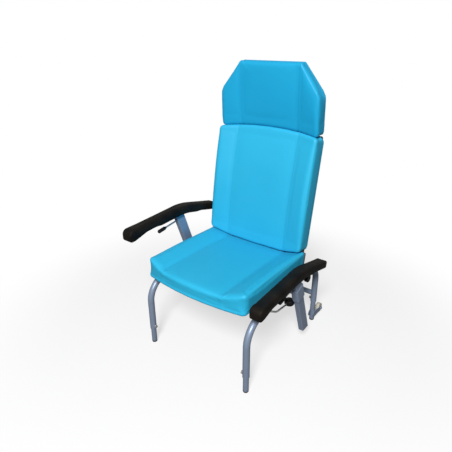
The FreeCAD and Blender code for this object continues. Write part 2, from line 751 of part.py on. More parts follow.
def back_upright():
    """A straight tube behind the board, cut round the headrest hinge at its top."""
    low = tube_line(-UPRIGHT_TUBE_DROP, BACK_TUBE_X)
    high = tube_line(HEAD_HINGE_RISE, BACK_TUBE_X)
    bore = UPRIGHT_TUBE_D / 2 - UPRIGHT_TUBE_WALL
    tube = round_bar(UPRIGHT_TUBE_D / 2, low, high).cut(round_bar(bore, low, high))
    return tube.cut(head_hinge_bar(HINGE_BODY_D / 2, 0, SIDE_X))


def back_pieces():
    bolster_middle = (BACK_PANEL_W / 2 + BACK_HALF - CUSHION_EDGE) / 2
    soft = cushion(BACK_HALF, bowed(-BACK_CORNER_DROP - BACK_BOW_BOTTOM, BACK_BOW_BOTTOM, BACK_HALF),
                   bowed(BACK_HEIGHT + BACK_BOW_TOP, -BACK_BOW_TOP, BACK_HALF),
                   bolster_top(BACK_T, BACK_BOLSTER, BACK_PANEL_W, BACK_HALF), PANEL_BOARD_T,
                   CUSHION_CORNER_R, BACK_CROWN, [BACK_PANEL_W / 4, BACK_PANEL_W / 2, bolster_middle])
    half = BACK_TUBE_X
    top = HEAD_HINGE_RISE - HINGE_BODY_D / 2 - BACK_BOARD_TOP_GAP
    corners = [vec(-half, BACK_BOARD_BOTTOM, 0), vec(half, BACK_BOARD_BOTTOM, 0), vec(half, top, 0),
               vec(-half, top, 0)]
    board = rounded_face(corners, [BACK_BOARD_CORNER_R] * 4).extrude(vec(0, 0, PANEL_BOARD_T))
    upright = back_upright()
    return {
        "back_cushion": in_back(soft),
        "back_board": in_back(board),
        "back_upright_left": upright,
        "back_upright_right": other_side(upright),
        "back_lower_tube": back_cross_tube(-LOWER_TUBE_DROP),
        "back_upper_tube": back_cross_tube(BACK_HEIGHT - UPPER_TUBE_DROP),
        "back_hinge_plates": pair(hinge_plate()),
        "back_pivot_bushes": pair(pivot_bush()),
        "pivot_bolts": pair(pivot_bolt()),
        "pivot_caps": pair(pivot_cap()),
        "headrest_hinges": pair(head_hinge()),
    }


# Headrest


def head_base():
    return back_point(BACK_HEIGHT + HEAD_RISE, -HEAD_BACKSET)


def in_head(shape):
    return turned(shape, 90 - BACK_LEAN + HEAD_TILT, head_base())


def head_point(rise):
    """A (y, z) point on the rear plane of the headrest."""
    base = head_base()
    lean = HEAD_TILT - BACK_LEAN
    return base.y - rise * degrees_sin(lean), base.z + rise * degrees_cos(lean)


def head_top(x):
    """Height of the headrest's edge: level across the top, then sloped down to the side."""
    half_top = HEAD_TOP_W / 2
    slope = (HEAD_HEIGHT - HEAD_SIDE_HEIGHT) / (HEAD_HALF - half_top)
    return HEAD_HEIGHT - slope * max(0.0, x - half_top)


def head_arm():
    """A flat arm from the hinge pin to the rear of the headrest board."""
    middle_x = BACK_TUBE_X - HINGE_BODY_W / 2 - HEAD_ARM_GAP - HEAD_ARM_T / 2
    hinge = tube_line(HEAD_HINGE_RISE)
    tip = head_point(HEAD_ARM_REACH)
    arm = link_plate((hinge.y, hinge.z), HEAD_ARM_HINGE_R, tip, HEAD_ARM_END_R, HEAD_ARM_T, middle_x)
    front = Part.makeBox(2 * SIDE_X, 2 * HEAD_HEIGHT, HEAD_HEIGHT, vec(-SIDE_X, -HEAD_HEIGHT, 0))
    return arm.cut(in_head(front)).cut(head_hinge_bar(HINGE_PIN_D / 2, 0, SIDE_X))


def head_pin():
    """The headed pin of one headrest hinge."""
    arm_x = BACK_TUBE_X - HINGE_BODY_W / 2 - HEAD_ARM_GAP - HEAD_ARM_T
    shank = head_hinge_bar(HINGE_PIN_D / 2, arm_x, BACK_TUBE_X + HINGE_BODY_W / 2)
    head = head_hinge_bar(HINGE_PIN_HEAD_D / 2, arm_x - HINGE_PIN_HEAD_H, arm_x)
    return shank.fuse(head).removeSplitter()


def head_pieces():
    shoulder = (HEAD_TOP_W / 2 + HEAD_HALF - CUSHION_EDGE) / 2
    soft = cushion(HEAD_HALF, bowed(HEAD_CORNER_RISE + HEAD_BOW, -HEAD_BOW, HEAD_HALF), head_top,
                   bolster_top(HEAD_T, HEAD_BOLSTER, HEAD_PANEL_W, HEAD_HALF), PANEL_BOARD_T,
                   CUSHION_CORNER_R, HEAD_CROWN,
                   [HEAD_PANEL_W / 4, HEAD_PANEL_W / 2, HEAD_TOP_W / 2, shoulder])
    half = HEAD_HALF - HEAD_BOARD_INSET
    low = HEAD_CORNER_RISE + HEAD_BOARD_INSET
    shoulder_rise = HEAD_SIDE_HEIGHT - HEAD_BOARD_INSET
    top = HEAD_HEIGHT - HEAD_BOARD_INSET
    half_top = HEAD_TOP_W / 2 - HEAD_BOARD_INSET / 2
    right = [vec(half, low, 0), vec(half, shoulder_rise, 0), vec(half_top, top, 0)]
    left = [vec(-point.x, point.y, 0) for point in reversed(right)]
    radii = [CUSHION_CORNER_R] * (len(right) + len(left))
    board = rounded_face(right + left, radii).extrude(vec(0, 0, PANEL_BOARD_T))
    return {
        "headrest_cushion": in_head(soft),
        "headrest_board": in_head(board),
        "headrest_arms": pair(head_arm()),
        "headrest_hinge_pins": pair(head_pin()),
    }


# Armrests


def in_arm(shape):
    """Leans a piece that is drawn along the slide axis, and sets it on the left arm's line."""
    return turned(shape, ARM_TILT, vec(ARM_X, GUIDE_Y, GUIDE_Z))


def pad_corner(along_rear, height):
    """A (y, z) point past the pad's bend, before the pad is pitched."""
    radius = PAD_BEND_R - PAD_T + height
    y = radius * degrees_sin(PAD_BEND_ANGLE) + along_rear * degrees_cos(PAD_BEND_ANGLE)
    z = radius * degrees_cos(PAD_BEND_ANGLE) - along_rear * degrees_sin(PAD_BEND_ANGLE)
    return y, z - PAD_BEND_R + PAD_T


def pad_bend(height):
    """The corner of the pad's bend at a height, and its radius there."""
    radius = PAD_BEND_R - PAD_T + height
    return (radius * math.tan(math.radians(PAD_BEND_ANGLE / 2)), height), radius


def in_pad(shape):
    return turned(shape, PAD_PITCH, vec(ARM_X, PAD_BEND_Y, PAD_Z))


def bent_strip(low, high, front, rear, width):
    """A strip that follows the pad's underside between two heights."""
    low_bend, low_r = pad_bend(low)
    high_bend, high_r = pad_bend(high)
    below = [(-front, low), low_bend, pad_corner(rear, low)]
    above = [pad_corner(rear, high), high_bend, (-front, high)]
    return side_profile(below + above, [0, low_r, 0, 0, high_r, 0], width, 0.0)


def armrest_pad():
    """A moulded pad: deep rounded nose, level middle, and a rear part that bends down."""
    nose = -PAD_NOSE_LENGTH
    heel = nose + PAD_NOSE_FLAT
    bottom_bend, bottom_r = pad_bend(0.0)
    top_bend, top_r = pad_bend(PAD_T)
    points = [
        (nose, -PAD_NOSE_DROP), (heel, -PAD_NOSE_DROP), (heel + PAD_NOSE_RAMP, 0.0), bottom_bend,
        pad_corner(PAD_REAR_LENGTH, 0.0), pad_corner(PAD_REAR_LENGTH, PAD_T), top_bend, (nose, PAD_T),
    ]
    radii = [PAD_NOSE_BOTTOM_R, PAD_RAMP_R, PAD_RAMP_R, bottom_r, PAD_CORNER_R, PAD_CORNER_R, top_r,
             PAD_NOSE_TOP_R]
    block = side_profile(points, radii, PAD_W, 0.0)
    rims = [edge for edge in block.Edges if edge.BoundBox.XLength < PAD_W / 2]
    return block.makeFillet(PAD_EDGE_ROUND, rims)


def lever_rise():
    """Height of the lever's pin along the slide axis, above the guide's middle."""
    return (PAD_Z - PLATE_T - LEVER_BELOW_PAD - GUIDE_Z) / degrees_cos(ARM_TILT)


def lever_slot():
    """The slot in the upright's front wall that the lever swings in."""
    reach = UPRIGHT_DEPTH / 2
    rest = ARM_TILT - LEVER_DROP_ANGLE
    half = LEVER_D / 2 / degrees_cos(rest + LEVER_SWING) + LEVER_SLOT_CLEARANCE
    low = lever_rise() + (reach - UPRIGHT_WALL) * math.tan(math.radians(rest)) - half
    high = lever_rise() + reach * math.tan(math.radians(rest + LEVER_SWING)) + half
    width = LEVER_D + 2 * LEVER_SLOT_SIDE
    return Part.makeBox(width, 2 * UPRIGHT_WALL, high - low, vec(-width / 2, -reach - UPRIGHT_WALL / 2, low))


def stop_slot():
    """The long slot in the upright's rear wall, which the guide's stop screw runs in."""
    width = STOP_SCREW_D + 2 * SLIDE_CLEARANCE
    rear = UPRIGHT_DEPTH / 2 + UPRIGHT_WALL
    start = vec(0, rear - 3 * UPRIGHT_WALL, 0)
    ends = [round_bar(width / 2, start + vec(0, 0, rise), vec(0, rear, rise)) for rise in (0.0, ARM_TRAVEL)]
    run = Part.makeBox(width, 3 * UPRIGHT_WALL, ARM_TRAVEL, start - vec(width / 2, 0, 0))
    return run.fuse(ends)


def arm_upright():
    """The rectangular tube with its slots, cut level at the bottom, and the welded bent plate on top."""
    top = 2 * lever_rise()
    bottom = -2 * UPRIGHT_BOTTOM_DROP
    outer = rounded_prism(UPRIGHT_W, UPRIGHT_DEPTH, UPRIGHT_ROUND, bottom, top)
    inner = rounded_prism(UPRIGHT_W - 2 * UPRIGHT_WALL, UPRIGHT_DEPTH - 2 * UPRIGHT_WALL,
                          UPRIGHT_ROUND - UPRIGHT_WALL, bottom, top)
    pin_r = LEVER_PIN_D / 2 + LEVER_PIN_CLEARANCE
    pin_hole = round_bar(pin_r, vec(-UPRIGHT_W, 0, lever_rise()), vec(UPRIGHT_W, 0, lever_rise()))
    tube = in_arm(outer.cut(inner).cut(lever_slot()).cut(stop_slot()).cut(pin_hole))
    floor_z = GUIDE_Z - UPRIGHT_BOTTOM_DROP
    span = 4 * UPRIGHT_DEPTH
    below = Part.makeBox(span, 2 * span, span, vec(ARM_X - span / 2, GUIDE_Y - span, floor_z - span))
    above = in_pad(bent_strip(-PLATE_T, 2 * span, PLATE_FRONT + span, PLATE_REAR_LENGTH + span, span))
    plate = in_pad(bent_strip(-PLATE_T, 0.0, PLATE_FRONT, PLATE_REAR_LENGTH, PLATE_W))
    upright = tube.cut(below).cut(above).fuse(plate).removeSplitter()
    plug_zone = Part.makeBox(span, 2 * span, PLUG_DEPTH, vec(ARM_X - span / 2, GUIDE_Y - span, floor_z))
    return upright, in_arm(inner).common(plug_zone)


def lever_point(distance):
    """A point on the lever's axis, at a distance from its pin."""
    pin_y = GUIDE_Y - lever_rise() * degrees_sin(ARM_TILT)
    pin_z = GUIDE_Z + lever_rise() * degrees_cos(ARM_TILT)
    ahead = distance * degrees_cos(LEVER_DROP_ANGLE)
    drop = distance * degrees_sin(LEVER_DROP_ANGLE)
    return vec(ARM_X, pin_y - ahead, pin_z - drop)


def arm_lever():
    """The lever rod with its cross pin, and the grip on its front end."""
    pin_middle = lever_point(0.0)
    pin_half = vec(UPRIGHT_W / 2, 0, 0)
    pin = round_bar(LEVER_PIN_D / 2, pin_middle - pin_half, pin_middle + pin_half)
    rod = round_bar(LEVER_D / 2, lever_point(-LEVER_D), lever_point(LEVER_LENGTH - GRIP_ROUND))
    grip_start = lever_point(LEVER_LENGTH - GRIP_LENGTH)
    grip = round_bar(GRIP_D / 2, grip_start, lever_point(LEVER_LENGTH))
    rims = [edge for edge in grip.Edges if edge.Curve.TypeId == "Part::GeomCircle"]
    grip = grip.makeFillet(GRIP_ROUND, rims)
    neck_start = lever_point(LEVER_LENGTH - GRIP_LENGTH - GRIP_NECK)
    neck = round_bar(GRIP_NECK_D / 2, neck_start, lever_point(LEVER_LENGTH - GRIP_LENGTH / 2))
    return rod.fuse(pin).removeSplitter(), grip.fuse(neck).cut(rod).removeSplitter()


def guide_prism(grow, low, high):
    """A prism along the slide axis, larger than the upright by grow on every side."""
    return rounded_prism(UPRIGHT_W + 2 * grow, UPRIGHT_DEPTH + 2 * grow, UPRIGHT_ROUND + grow, low, high)


def arm_guide():
    """The welded guide sleeve, its flanged liner and the stop screw at its rear."""
    half = GUIDE_LENGTH / 2
    run = SLIDE_CLEARANCE
    lined = run + LINER_T
    walled = lined + GUIDE_WALL
    rear = UPRIGHT_DEPTH / 2
    shoulder = vec(0, rear + walled, 0)
    tip = vec(0, rear - UPRIGHT_WALL - STOP_SCREW_REACH, 0)
    head = round_bar(STOP_SCREW_HEAD_D / 2, shoulder, shoulder + vec(0, STOP_SCREW_HEAD_H, 0))
    screw = in_arm(head.fuse(round_bar(STOP_SCREW_D / 2, tip, shoulder)).removeSplitter())
    sleeve = in_arm(guide_prism(walled, -half, half).cut(guide_prism(lined, -half, half)))
    saddle_y = GUIDE_Y - GUIDE_DROP * math.tan(math.radians(ARM_TILT))
    saddle_low = vec(SIDE_X, saddle_y - GUIDE_SADDLE_LENGTH / 2, RAIL_Z - GUIDE_SADDLE_H / 2)
    saddle = Part.makeBox(ARM_X - SIDE_X, GUIDE_SADDLE_LENGTH, GUIDE_SADDLE_H, saddle_low)
    saddle = saddle.cut(side_tube(TUBE_D)).cut(in_arm(guide_prism(lined, -2 * half, 2 * half)))
    liner = guide_prism(lined, -half, half)
    for low in (-half - LINER_FLANGE, half):
        liner = liner.fuse(guide_prism(walled - LINER_FLANGE, low, low + LINER_FLANGE))
    liner = in_arm(liner.cut(guide_prism(run, -2 * half, 2 * half)).removeSplitter())
    return sleeve.fuse(saddle).removeSplitter().cut(screw), liner.cut(screw), screw


def lowered(shape):
    """The piece moved down its slanted guide by the whole travel."""
    copy = shape.copy()
    copy.translate(vec(0, ARM_TRAVEL * degrees_sin(ARM_TILT), -ARM_TRAVEL * degrees_cos(ARM_TILT)))
    return copy


def arm_pieces():
    upright, plug = arm_upright()
    lever, grip = arm_lever()
    raised = {
        "arm_upright": upright,
        "arm_plug": plug,
        "armrest_pad": in_pad(armrest_pad()),
        "arm_lever": lever,
        "arm_lever_grip": grip,
    }
    pieces = {}
    for name, shape in raised.items():
        pieces[name + "_left"] = lowered(shape)
        pieces[name + "_right"] = other_side(shape)
    guide, liner, screw = arm_guide()
    pieces["arm_guide_left"] = guide
    pieces["arm_guide_right"] = other_side(guide)
    pieces["arm_guide_liners"] = pair(liner)
    pieces["arm_stop_screws"] = pair(screw)
    return pieces


# Recline control and gas spring


def recline_lever():
    """The bent rod with its release finger at the middle, and the knob at its end."""
    points = [
        vec(-SHAFT_PAST_MIDDLE, SHAFT_Y, SHAFT_Z),
        vec(ROD_X, SHAFT_Y, SHAFT_Z),
        vec(ROD_X, SHAFT_Y + ROD_KNEE_BACK, SHAFT_Z - ROD_KNEE_DROP),
        vec(ROD_X, SHAFT_Y + ROD_END_BACK, SHAFT_Z - ROD_END_DROP),
    ]
    rod = bent_bar(points, [ROD_ELBOW_R, ROD_KNEE_R], ROD_D)
    tip = (SHAFT_Y - FINGER_REACH, SHAFT_Z - FINGER_DROP)
    finger = link_plate((SHAFT_Y, SHAFT_Z), FINGER_HUB_R, tip, FINGER_TIP_R, FINGER_W, 0.0)
    end = points[-1]
    knob_y = end.y + KNOB_D / 2 - KNOB_PAST_ROD
    knob = Part.makeCylinder(KNOB_D / 2, KNOB_H, vec(ROD_X, knob_y, end.z - KNOB_H / 2))
    rims = [edge for edge in knob.Edges if edge.Curve.TypeId == "Part::GeomCircle"]
    knob = knob.makeFillet(KNOB_ROUND, rims).cut(rod)
    return rod.fuse(finger).removeSplitter(), knob


def lever_bearings(bar_zone):
    """Two hanging plates that carry the cross shaft under the front seat bar."""
    plates = []
    top = (SHAFT_Y - BEARING_TOP_AHEAD, SHAFT_Z + BEARING_TOP_RISE)
    hole_r = ROD_D / 2 + SHAFT_CLEARANCE
    hole = round_bar(hole_r, vec(-SIDE_X, SHAFT_Y, SHAFT_Z), vec(SIDE_X, SHAFT_Y, SHAFT_Z))
    for x in (BEARING_FROM_MIDDLE, RAIL_INNER_X - BEARING_FROM_RAIL):
        plate = link_plate((SHAFT_Y, SHAFT_Z), BEARING_R, top, BEARING_TOP_R, BEARING_T, x)
        plates.append(plate.cut(hole).cut(bar_zone))
    return Part.makeCompound(plates)


def gas_front():
    """The front eye of the gas spring, under the middle of the front seat bar."""
    drop = FRONT_BAR_SETBACK * degrees_cos(SEAT_TILT)
    return vec(0, SEAT_FRONT_Y + drop, RAIL_Z - GAS_FRONT_DROP)


def gas_rear():
    """The rear eye, on the lug that hangs below the backrest's pivot line."""
    y = PIVOT_Y + GAS_LEVER_R * degrees_sin(GAS_LEVER_ANGLE)
    return vec(0, y, PIVOT_Z - GAS_LEVER_R * degrees_cos(GAS_LEVER_ANGLE))


def ears(far, far_r, near, near_r):
    """Two flat ears, one at each side of a gas spring eye."""
    middle = GAS_EYE_W / 2 + GAS_EYE_GAP + GAS_EAR_T / 2
    first = (far.y, far.z)
    second = (near.y, near.z)
    return [link_plate(first, far_r, second, near_r, GAS_EAR_T, side * middle) for side in (-1, 1)]


def gas_pieces():
    front_bar_zone = seat_bar(FRONT_BAR_SETBACK)[1]
    front = gas_front()
    rear = gas_rear()
    run = (rear - front).normalize()
    length = (rear - front).Length
    half_pin = GAS_EYE_W / 2 + GAS_EYE_GAP + GAS_EAR_T
    front_pin = cross_pin(GAS_PIN_D, GAS_PIN_HEAD_D, GAS_PIN_HEAD_H, half_pin, front.y, front.z)
    rear_pin = cross_pin(GAS_PIN_D, GAS_PIN_HEAD_D, GAS_PIN_HEAD_H, half_pin, rear.y, rear.z)
    bar_middle = vec(0, front.y, RAIL_Z)
    bracket_ears = ears(bar_middle, GAS_EAR_TOP_R, front, GAS_EAR_R)
    bracket = [ear.cut(front_bar_zone).cut(front_pin) for ear in bracket_ears]
    weld = tube_line(-LOWER_TUBE_DROP)
    weld_tube = round_bar(UPRIGHT_TUBE_D / 2, vec(-SIDE_X, weld.y, weld.z), vec(SIDE_X, weld.y, weld.z))
    lug = [ear.cut(weld_tube).cut(rear_pin) for ear in ears(weld, GAS_EAR_TOP_R, rear, GAS_EAR_R)]

    def eye(middle, radius, bore):
        ends = [middle - vec(GAS_EYE_W / 2, 0, 0), middle + vec(GAS_EYE_W / 2, 0, 0)]
        return round_bar(radius, *ends), round_bar(bore, *ends)

    rod = round_bar(GAS_ROD_D / 2, front + run * GAS_ROD_SEAT, front + run * GAS_ROD_LENGTH)
    piston_r = GAS_CYLINDER_D / 2 - GAS_CYLINDER_WALL - GAS_PISTON_CLEARANCE
    piston_front = front + run * (GAS_ROD_LENGTH - GAS_PISTON_T)
    piston = round_bar(piston_r, piston_front, front + run * GAS_ROD_LENGTH)
    head_eye, head_bore = eye(front, GAS_HEAD_R, GAS_PIN_D / 2 + GAS_PIN_CLEARANCE)
    neck = round_bar(GAS_NECK_R, front, front + run * GAS_NECK_LENGTH)
    head = head_eye.fuse(neck).cut(head_bore).cut(rod).removeSplitter()

    start = front + run * GAS_CYLINDER_FRONT
    end = front + run * (length - GAS_CYLINDER_REAR_GAP)
    barrel = round_bar(GAS_CYLINDER_D / 2, start, end)
    cap = run * GAS_CYLINDER_END
    barrel = barrel.cut(round_bar(GAS_CYLINDER_D / 2 - GAS_CYLINDER_WALL, start + cap, end - cap))
    barrel = barrel.cut(round_bar(GAS_ROD_D / 2 + GAS_ROD_CLEARANCE, start, start + cap))
    tail_eye, tail_bore = eye(rear, GAS_EYE_R, GAS_PIN_D / 2 + GAS_REAR_PIN_CLEARANCE)
    tail = round_bar(GAS_TAIL_R, end, rear)
    lever, knob = recline_lever()
    return {
        "gas_spring_bracket": Part.makeCompound(bracket),
        "gas_spring_front_pin": front_pin,
        "gas_spring_lug": Part.makeCompound(lug),
        "gas_spring_rear_pin": rear_pin,
        "gas_spring_rod": rod.fuse(piston).removeSplitter(),
        "gas_spring_head": head,
        "gas_spring_cylinder": barrel.fuse([tail, tail_eye]).cut(tail_bore).removeSplitter(),
        "recline_lever": lever,
        "recline_knob": knob,
        "lever_bearings": lever_bearings(front_bar_zone),
    }


def main():
    os.makedirs("parts", exist_ok=True)
    pieces = {}
    for group in (frame_pieces, seat_pieces, back_pieces, head_pieces, arm_pieces, gas_pieces):
        pieces.update(group())
    for name, shape in pieces.items():
        shape.exportStep(os.path.join("parts", name + ".step"))
        solids = shape.Solids
        valid = all(solid.isValid() and solid.Volume > 0 for solid in solids)
        print(name, "solids", len(solids), "valid", valid, "volume", round(shape.Volume))


main()
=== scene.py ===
# %% [markdown]
# # A reclining care chair
# The chair stands on a frame of bent steel tube and carries three sky-blue foam cushions, two black
# armrests and a bent chromed rod that frees the backrest. The packed CAD model is the fixed frame: it
# gives every hard part its place, in metres. This lesson dresses that frame. It makes the camera and a
# plain studio, gives each finish a material of its own, and stuffs the soft parts with a cloth simulation.

import json
import math

import bmesh
import bpy
import numpy as np
from mathutils import Matrix, Vector
from mathutils.bvhtree import BVHTree


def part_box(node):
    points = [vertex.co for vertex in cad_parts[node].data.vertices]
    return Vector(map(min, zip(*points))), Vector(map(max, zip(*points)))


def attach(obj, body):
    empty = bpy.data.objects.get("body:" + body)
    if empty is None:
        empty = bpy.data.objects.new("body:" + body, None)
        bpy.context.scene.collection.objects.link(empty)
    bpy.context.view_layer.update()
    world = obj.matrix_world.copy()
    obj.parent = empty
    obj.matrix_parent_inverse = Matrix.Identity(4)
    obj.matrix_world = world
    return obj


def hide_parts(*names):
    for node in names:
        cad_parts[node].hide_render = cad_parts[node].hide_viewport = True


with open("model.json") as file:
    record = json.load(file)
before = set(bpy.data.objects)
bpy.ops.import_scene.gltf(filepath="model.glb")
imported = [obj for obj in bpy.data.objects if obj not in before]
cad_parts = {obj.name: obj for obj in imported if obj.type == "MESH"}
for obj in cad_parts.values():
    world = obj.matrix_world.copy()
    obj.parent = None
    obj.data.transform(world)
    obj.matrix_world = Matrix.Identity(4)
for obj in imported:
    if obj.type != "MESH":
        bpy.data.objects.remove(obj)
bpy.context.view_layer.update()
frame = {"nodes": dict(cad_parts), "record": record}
scene = bpy.context.scene
scene.view_settings.view_transform = "Standard"

# %% [markdown]
# The photograph looks down on the chair from its left front. A camera can be aimed by hand, but here its
# place and turn were worked out from straight edges of the chair, so they are written as numbers: where it
# stands, how far it is turned to the side, tipped down and rolled, and its lens.

# %% Camera
CAMERA_PLACE = Vector((0.98726, -1.40701, 1.35442))
CAMERA_YAW = 0.6444
CAMERA_PITCH = 0.4287
CAMERA_ROLL = -0.0052
CAMERA_LENS = 33.40

camera = bpy.data.objects.new("camera", bpy.data.cameras.new("camera"))
scene.collection.objects.link(camera)
forward = Vector((-math.sin(CAMERA_YAW) * math.cos(CAMERA_PITCH),
                  math.cos(CAMERA_YAW) * math.cos(CAMERA_PITCH), -math.sin(CAMERA_PITCH)))
level = Vector((math.cos(CAMERA_YAW), math.sin(CAMERA_YAW), 0.0))
across = level * math.cos(CAMERA_ROLL) + level.cross(forward) * math.sin(CAMERA_ROLL)
turn = Matrix((across, across.cross(forward), -forward)).transposed().to_4x4()
camera.matrix_world = Matrix.Translation(CAMERA_PLACE) @ turn
camera.data.lens = CAMERA_LENS
camera.data.sensor_width = 36.0
camera.data.clip_end = 60.0
scene.camera = camera
print("camera at", [round(v, 3) for v in camera.location], "lens", camera.data.lens, "mm")

# %% [markdown]
# Materials are node trees. Wiring each sum by hand takes many lines, so one small class wraps a socket:
# adding or multiplying two of them adds the Math node that does it, and `node` makes any other kind.
# Its settings are set first, and its sockets are then given numbers or other sockets.


# %% A class for shader sockets
class Wire:
    """One output socket of a node tree. Sums and products of wires add Math nodes."""

    def __init__(self, tree, socket=None):
        self.tree = tree
        self.socket = socket

    def node(self, kind, settings=None, sockets=None, output=0):
        made = self.tree.nodes.new(kind)
        for name, value in (settings or {}).items():
            if name == "stops":
                self.set_stops(made.color_ramp, value)
            else:
                setattr(made, name, value)
        for name, value in (sockets or {}).items():
            if isinstance(value, Wire):
                self.tree.links.new(value.socket, made.inputs[name])
            else:
                made.inputs[name].default_value = value
        return Wire(self.tree, made.outputs[output] if made.outputs else None)

    @staticmethod
    def set_stops(ramp, stops):
        while len(ramp.elements) < len(stops):
            ramp.elements.new(0.5)
        for element, (place, level) in zip(ramp.elements, stops):
            element.position = place
            element.color = (level, level, level, 1.0)

    def maths(self, operation, first, second=0.0):
        return self.node("ShaderNodeMath", {"operation": operation}, {0: first, 1: second})

    def __add__(self, other):
        return self.maths("ADD", self, other)

    def __rsub__(self, other):
        return self.maths("SUBTRACT", other, self)

    def __mul__(self, other):
        return self.maths("MULTIPLY", self, other)

    def __truediv__(self, other):
        return self.maths("DIVIDE", self, other)

    __radd__ = __add__
    __rmul__ = __mul__

    def noise(self, scale, detail=2.0, roughness=0.5, distortion=0.0):
        return self.node("ShaderNodeTexNoise", None, {
            "Vector": self, "Scale": scale, "Detail": detail, "Roughness": roughness,
            "Distortion": distortion})

    def cells(self, scale, feature="F1"):
        return self.node("ShaderNodeTexVoronoi", {"feature": feature}, {"Vector": self, "Scale": scale})

    def ramp(self, *stops):
        """The value spread between the given (place, level) stops."""
        return self.node("ShaderNodeValToRGB", {"stops": stops}, {"Fac": self})

    def mapped(self, scale):
        return self.node("ShaderNodeMapping", None, {"Vector": self, "Scale": scale})

    def axis(self, index):
        return self.node("ShaderNodeSeparateXYZ", None, {"Vector": self}, index)

    def mix(self, dark, light):
        """From one colour to another as the value goes from 0 to 1."""
        made = self.tree.nodes.new("ShaderNodeMix")
        made.data_type = "RGBA"
        self.tree.links.new(self.socket, made.inputs["Factor"])
        for place, colour in ((6, dark), (7, light)):
            if isinstance(colour, Wire):
                self.tree.links.new(colour.socket, made.inputs[place])
            else:
                made.inputs[place].default_value = (*colour, 1.0)
        return Wire(self.tree, made.outputs[2])


def finish(name, colour, roughness, height=None, depth=0.0002, **constants):
    """A material from a function of Object coordinates for each thing that changes over the surface."""
    material = bpy.data.materials.new(name)
    material.use_nodes = True
    tree = material.node_tree
    tree.nodes.clear()
    place = Wire(tree).node("ShaderNodeTexCoord", None, None, "Object")
    sockets = {"Base Color": colour(place), "Roughness": roughness(place)}
    if height is not None:
        sockets["Normal"] = place.node("ShaderNodeBump", None, {
            "Height": height(place), "Distance": depth, "Strength": 1.0})
    sockets.update({socket.replace("_", " "): value for socket, value in constants.items()})
    shader = place.node("ShaderNodeBsdfPrincipled", None, sockets)
    place.node("ShaderNodeOutputMaterial", None, {"Surface": shader})
    return material


print("shader class ready:", Wire.__doc__)

# %% [markdown]
# The studio is a white floor that runs on as a white surround, with one soft lamp high up beside the camera
# and a little light from all around. The white comes from what the camera sees of the floor and the world,
# not from more light, so colours stay as they are written. The floor still takes the chair's shadow.

# %% Studio
FLOOR_SIZE = 40.0
SHADOW_SHARE = 0.66
SHADOW_NEAR = 0.75
SHADOW_FAR = 1.5
AMBIENT = 0.09
MIRRORED = 0.45
FLOOR_MIRRORED = 0.15
FLOOR_TONE = (0.90, 0.90, 0.90)
FLOOR_SPECK = (0.92, 0.92, 0.92)
FLOOR_BOUNCE = (0.13, 0.13, 0.13, 1.0)
LAMPS = {
    # name: place, point it is aimed at, width in metres, power in watts
    "key": ((1.67, -3.36, 3.86), (0.0, 0.0, 0.7), 1.3, 310.0),
}

bpy.ops.object.select_all(action="DESELECT")
bpy.ops.mesh.primitive_plane_add(size=FLOOR_SIZE)
floor = bpy.context.object
floor.name = "floor"

floor_paint = bpy.data.materials.new("floor_paint")
floor_paint.use_nodes = True
floor_paint.node_tree.nodes.clear()
paint = Wire(floor_paint.node_tree)
ground = paint.node("ShaderNodeTexCoord", None, None, "Object")
speckle = ground.noise(3.0, 3.0)
matt = paint.node("ShaderNodeBsdfDiffuse", None, {"Color": speckle.mix(FLOOR_TONE, FLOOR_SPECK)})
dull = paint.node("ShaderNodeBsdfDiffuse", None, {"Color": FLOOR_BOUNCE})
glow = paint.node("ShaderNodeEmission", None, {"Color": (1, 1, 1, 1), "Strength": 1.0})
ray = {kind: paint.node("ShaderNodeLightPath", None, None, f"Is {kind} Ray")
       for kind in ("Camera", "Glossy", "Transmission")}
away = ground.node("ShaderNodeVectorMath", {"operation": "LENGTH"}, {0: ground}, "Value")
far = paint.node("ShaderNodeMapRange", {"interpolation_type": "SMOOTHSTEP"}, {
    "Value": away, "From Min": SHADOW_NEAR, "From Max": SHADOW_FAR, "To Min": SHADOW_SHARE, "To Max": 1.0})
seen = paint.maths("MINIMUM", ray["Camera"] * far + ray["Glossy"] * FLOOR_MIRRORED + ray["Transmission"], 1.0)
body = paint.node("ShaderNodeMixShader", None, {0: ray["Camera"], 1: dull, 2: matt})
white = paint.node("ShaderNodeMixShader", None, {0: seen, 1: body, 2: glow})
paint.node("ShaderNodeOutputMaterial", None, {"Surface": white})
floor.data.materials.append(floor_paint)

world = bpy.data.worlds.new("surround")
scene.world = world
world.use_nodes = True
world.node_tree.nodes.clear()
sky = Wire(world.node_tree)
rays = [sky.node("ShaderNodeLightPath", None, None, kind)
        for kind in ("Is Camera Ray", "Is Glossy Ray", "Is Transmission Ray")]
shown = sky.maths("MINIMUM", rays[0] + rays[2], 1.0)
surround = sky.node("ShaderNodeBackground", None, {
    "Color": (1, 1, 1, 1),
    "Strength": shown * (1.0 - AMBIENT) + rays[1] * (MIRRORED - AMBIENT) + AMBIENT})
sky.node("ShaderNodeOutputWorld", None, {"Surface": surround})

for name, (place, aim, size, power) in LAMPS.items():
    lamp = bpy.data.objects.new(name, bpy.data.lights.new(name, "AREA"))
    scene.collection.objects.link(lamp)
    lamp.data.shape = "DISK"
    lamp.data.size = size
    lamp.data.energy = power
    lamp.location = place
    lamp.rotation_euler = (Vector(aim) - Vector(place)).to_track_quat("-Z", "Y").to_euler()
print("studio:", len(LAMPS), "lamps, ambient", AMBIENT)

# %% [markdown]
# The tubes are sprayed with a blue-grey metallic lacquer. Up close such paint has fine flakes, a slight
# orange peel, and dull rubbed marks low on the legs. Noise at three scales gives these, in Object
# coordinates, so that the same finish runs over every tube without a seam.

# %% Frame lacquer


